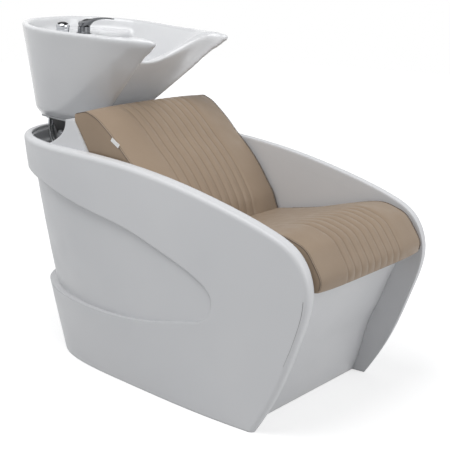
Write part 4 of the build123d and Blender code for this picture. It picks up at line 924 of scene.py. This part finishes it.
# %% [markdown]
# ## Basin
# The real basin is slip-cast, so no edge on it is sharp: the rims, the two horns and the lip of
# the neck scoop are all rolled over. A copy of the solid is rebuilt in even small faces and then
# relaxed, which rounds every edge by about the same amount. Round the taps and the waste and over
# the carriers the copy is left as it was, so that the metal still sits flat on it.

# %% Basin copy
basin_voxel = 0.0042
tap_places = ((0.040, 0.4975), (-0.040, 0.5100), (0.0, 0.363))
metal_clear, metal_fade = 0.030, 0.020
carrier_half_x = 0.114
carrier_middle_y, carrier_half_y = 0.465, 0.080
underside_z = 0.772
above_fade, beside_fade = 0.012, 0.014
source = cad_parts["basin"]
cast_basin = bpy.data.objects.new("cast_basin", source.data.copy())
scene.collection.objects.link(cast_basin)
take(cast_basin)
bpy.ops.object.mode_set(mode="EDIT")
bpy.ops.mesh.select_all(action="SELECT")
bpy.ops.mesh.remove_doubles(threshold=0.00001)
bpy.ops.object.mode_set(mode="OBJECT")
cast_basin.data.remesh_voxel_size = basin_voxel
cast_basin.data.use_remesh_preserve_attributes = False
bpy.ops.object.voxel_remesh()
print("cast basin faces", len(cast_basin.data.polygons))


# %% Relaxing the basin
def from_metal(place):
    """0 beside a tap, the waste or a carrier, 1 well away from them."""
    nearest = min(math.hypot(place.x - x, place.y - y) for x, y in tap_places)
    clear = (nearest - metal_clear) / metal_fade
    beside = math.hypot(max(0.0, abs(place.x) - carrier_half_x),
                        max(0.0, abs(place.y - carrier_middle_y) - carrier_half_y))
    above = max((place.z - underside_z) / above_fade, beside / beside_fade)
    return min(1.0, max(0.0, min(clear, above)))


def soften(piece, name, weight, iterations):
    """Smooths the piece where weight(place) is above 0, and applies it."""
    group = piece.vertex_groups.new(name=name)
    for vertex in piece.data.vertices:
        group.add([vertex.index], weight(vertex.co), "REPLACE")
    shape_by(piece, "SMOOTH", factor=0.5, iterations=iterations, vertex_group=name)


soften(cast_basin, "relaxed", from_metal, 34)
bpy.ops.object.shade_smooth()


# %% [markdown]
# The horns' tips shrink as they relax, so they are drawn out again, forward and a little up,
# and the lip is rolled once more and filled out along its own normals.

# %% Drawing out the horns
def eased(value, low, high):
    """0 below low, 1 above high, and a soft change between them."""
    share = min(1.0, max(0.0, (value - low) / (high - low)))
    return share * share * (3.0 - 2.0 * share)


def horn_share(place):
    """1 at the tips of the horns, 0 behind them and below them."""
    return eased(-place.y, -0.150, -0.030) * eased(place.z, 0.930, 0.995)


def lip_share(place):
    """1 along the lip of the neck scoop and the horns."""
    return eased(-place.y, -0.240, -0.120) * eased(place.z, 0.880, 0.930)


soften(cast_basin, "rolled", lip_share, 24)
cast_basin.data.update()
horn_forward, horn_fuller = 0.020, 0.0030
rim_rise, horn_lift = 0.0065, 0.0045
lip_fuller = 0.0026
basin_moves = []
for vertex in cast_basin.data.vertices:
    place = vertex.co
    horn, lip = horn_share(place), lip_share(place)
    rise = rim_rise * eased(place.z, 0.880, 0.990) * from_metal(place)
    lift = horn_lift * eased(-place.y, -0.380, -0.040) * eased(place.z, 0.900, 0.990)
    fuller = vertex.normal * (lip_fuller * lip + horn_fuller * horn)
    basin_moves.append(Vector((0.0, -horn_forward * horn, lift + rise)) + fuller)
for vertex, move in zip(cast_basin.data.vertices, basin_moves):
    vertex.co += move
cast_basin.data.update()
cast_basin.data.materials.clear()
cast_basin.data.materials.append(glaze)
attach(cast_basin, "tilting_basin")
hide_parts("basin")
print("cast basin", tuple(round(c, 3) for c in cast_basin.dimensions))

# %% [markdown]
# ## Mixer lever
# The lever is one smooth casting: broad where it hoods the tap, arched, and thin at its tip. It
# starts as a block over the cap, and its front face is pulled out station by station, each time a
# little narrower. Subdivision turns the steps into one curve.

# %% Lever
lever_stations = ((-0.011, 0.0015, 1.34, 1.36), (-0.013, 0.0030, 0.95, 0.94),
                  (-0.013, 0.0055, 0.70, 0.56), (-0.017, 0.0055, 0.80, 0.68),
                  (-0.021, 0.0040, 0.86, 0.76), (-0.022, 0.0018, 0.92, 0.80),
                  (-0.022, 0.0002, 0.94, 0.84), (-0.016, -0.0012, 0.88, 0.84),
                  (-0.005, -0.0006, 0.64, 0.72))
lever_root = Vector((0.040, 0.5080, 1.0300))
root_size = Vector((0.031, 0.012, 0.024))
clear_selection()
bpy.ops.mesh.primitive_cube_add(size=1.0, location=lever_root)
mixer_lever = bpy.context.object
mixer_lever.name = "mixer_lever"
mixer_lever.scale = root_size
bpy.ops.object.transform_apply(location=True, rotation=True, scale=True)
bpy.ops.object.mode_set(mode="EDIT")
bpy.ops.mesh.select_mode(type="FACE")
bpy.ops.mesh.select_all(action="DESELECT")
bpy.ops.object.mode_set(mode="OBJECT")
for polygon in mixer_lever.data.polygons:
    polygon.select = polygon.normal.y < -0.5
bpy.ops.object.mode_set(mode="EDIT")
place = lever_root - Vector((0.0, root_size.y / 2, 0.0))
for forward, rise, wider, thicker in lever_stations:
    step = Vector((0.0, forward, rise))
    place += step
    bpy.ops.mesh.extrude_region_move(TRANSFORM_OT_translate={"value": step})
    bpy.ops.transform.resize(value=(wider, 1.0, thicker), center_override=place)
bpy.ops.object.mode_set(mode="OBJECT")
shape_by(mixer_lever, "SUBSURF", levels=3, render_levels=3)
bpy.ops.object.shade_smooth()
mixer_lever.data.materials.append(chrome_painted_dark_reflection)
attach(mixer_lever, "lever")
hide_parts("tap_lever")
print("lever", tuple(round(c, 4) for c in mixer_lever.dimensions))

# %% [markdown]
# Under the hood the cap is a ball about the lever's pin, cut flat where it sits on the mixer's
# base, so the hood turns round it and no gap opens when the lever lifts.

# %% Cap
clear_selection()
cap_middle = Vector((0.040, 0.4935, 1.0275))
cap_seat_z = 1.0214
bpy.ops.mesh.primitive_uv_sphere_add(segments=48, ring_count=24, radius=0.0172,
                                     location=cap_middle)
mixer_cap = bpy.context.object
mixer_cap.name = "mixer_cap"
bpy.ops.object.transform_apply(location=True, rotation=True, scale=True)
bpy.ops.object.mode_set(mode="EDIT")
bpy.ops.mesh.select_all(action="SELECT")
bpy.ops.mesh.bisect(plane_co=(cap_middle.x, cap_middle.y, cap_seat_z), plane_no=(0, 0, -1),
                    use_fill=True, clear_outer=True)
bpy.ops.object.mode_set(mode="OBJECT")
bpy.ops.object.shade_smooth()
mixer_cap.data.materials.append(chrome_painted_dark_reflection)
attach(mixer_cap, "cap")
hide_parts("tap_cap")
print("cap", tuple(round(c, 4) for c in mixer_cap.dimensions))

# %% [markdown]
# ## Studio
# A wide floor and an even white surround. The surround lights the object at a plain level, and
# only camera, glossy and clear rays see it as full white, so the ground is white while the
# object keeps its own tones. A large lamp overhead gives the rims their light, and another
# stands in front. The floor glows less near the object, so that it keeps a soft shadow there.

# %% Surround
world = bpy.data.worlds.new("white_surround")
scene.world = world
world.use_nodes = True
world.node_tree.nodes.clear()
seen_white = add_node(world, "ShaderNodeBackground",
                      {"Color": (1.0, 1.0, 1.0, 1.0), "Strength": 1.0})
soft_light = add_node(world, "ShaderNodeBackground",
                      {"Color": (0.97, 0.985, 1.0, 1.0), "Strength": 0.47})
rays = add_node(world, "ShaderNodeLightPath")
either = add_node(world, "ShaderNodeMath", operation="MAXIMUM")
any_seen = add_node(world, "ShaderNodeMath", operation="MAXIMUM")
chosen = add_node(world, "ShaderNodeMixShader")
world_out = add_node(world, "ShaderNodeOutputWorld")
wire(world, rays.outputs["Is Camera Ray"], either.inputs[0])
wire(world, rays.outputs["Is Glossy Ray"], either.inputs[1])
wire(world, either.outputs[0], any_seen.inputs[0])
wire(world, rays.outputs["Is Transmission Ray"], any_seen.inputs[1])
wire(world, any_seen.outputs[0], chosen.inputs["Fac"])
wire(world, soft_light.outputs[0], chosen.inputs[1])
wire(world, seen_white.outputs[0], chosen.inputs[2])
wire(world, chosen.outputs[0], world_out.inputs["Surface"])
print("surround", soft_light.inputs["Strength"].default_value)

# %% Floor
clear_selection()
bpy.ops.mesh.primitive_grid_add(x_subdivisions=2, y_subdivisions=2, size=16.0,
                                location=(0, 0, -0.0005))
floor = bpy.context.object
floor.name = "studio_floor"
bpy.ops.object.transform_apply(location=True, rotation=True, scale=True)
paper, paper_surface = new_finish("white_paper", (0.62, 0.62, 0.62), 0.85)
paper_surface.inputs["Specular IOR Level"].default_value = 0.0
paper_rays = add_node(paper, "ShaderNodeLightPath")
paper_seen = add_node(paper, "ShaderNodeMath", operation="MAXIMUM")
wire(paper, paper_rays.outputs["Is Camera Ray"], paper_seen.inputs[0])
wire(paper, paper_rays.outputs["Is Glossy Ray"], paper_seen.inputs[1])
paper_glow = add_node(paper, "ShaderNodeMath", operation="MULTIPLY")
wire(paper, paper_seen.outputs[0], paper_glow.inputs[0])
paper_reach = add_node(paper, "ShaderNodeVectorMath", operation="LENGTH")
wire(paper, object_places(paper), paper_reach.inputs[0])
wire(paper, ranged(paper, paper_reach.outputs["Value"], 0.56, 0.82, 0.7, 2.4),
     paper_glow.inputs[1])
paper_surface.inputs["Emission Color"].default_value = (1.0, 1.0, 1.0, 1.0)
wire(paper, paper_glow.outputs[0], paper_surface.inputs["Emission Strength"])
floor.data.materials.append(paper)
print("floor", tuple(round(c, 2) for c in floor.dimensions))

# %% Lamps
def soft_lamp(name, place, target, size, watts):
    """A square lamp that faces a point."""
    lamp_data = bpy.data.lights.new(name, "AREA")
    lamp_data.shape = "SQUARE"
    lamp_data.size = size
    lamp_data.energy = watts
    lamp = bpy.data.objects.new(name, lamp_data)
    scene.collection.objects.link(lamp)
    lamp.location = place
    lamp.rotation_euler = (Vector(target) - Vector(place)).to_track_quat("-Z", "Y").to_euler()
    print(name, watts, "W")


soft_lamp("overhead_lamp", (-1.1, 0.0, 3.0), (0.0, 0.0, 0.4), 2.2, 56.0)
soft_lamp("front_lamp", (0.8, -3.6, 1.8), (0.0, 0.0, 0.5), 2.0, 40.0)

# %% [markdown]
# Two dark flags hang over the set and behind the camera, as a photographer hangs black cloth.
# Only mirror rays see them, so they put the dark bands into the chrome and take no light away.

# %% Dark flags
black_cloth = dressed("black_cloth", (0.015, 0.015, 0.016), 0.9,
                      tones=(8.0, (0.3, (0.012, 0.012, 0.013)), (0.7, (0.02, 0.02, 0.021))))
camera_flag_distance = 4.2
view_back = (camera_place - camera_target).normalized()
for flag_name, flag_place, flag_size in (
        ("top_flag", Vector((0.3, 0.5, 3.7)), 5.0),
        ("camera_flag", camera_target + view_back * camera_flag_distance, 3.6)):
    clear_selection()
    bpy.ops.mesh.primitive_grid_add(x_subdivisions=2, y_subdivisions=2, size=flag_size)
    flag = bpy.context.object
    flag.name = flag_name
    flag.location = flag_place
    flag.rotation_euler = (camera_target - flag_place).to_track_quat("Z", "Y").to_euler()
    bpy.ops.object.transform_apply(location=True, rotation=True, scale=True)
    flag.data.materials.append(black_cloth)
    flag.visible_camera = False
    flag.visible_diffuse = False
    flag.visible_shadow = False
    flag.visible_transmission = False
print("flags hung")
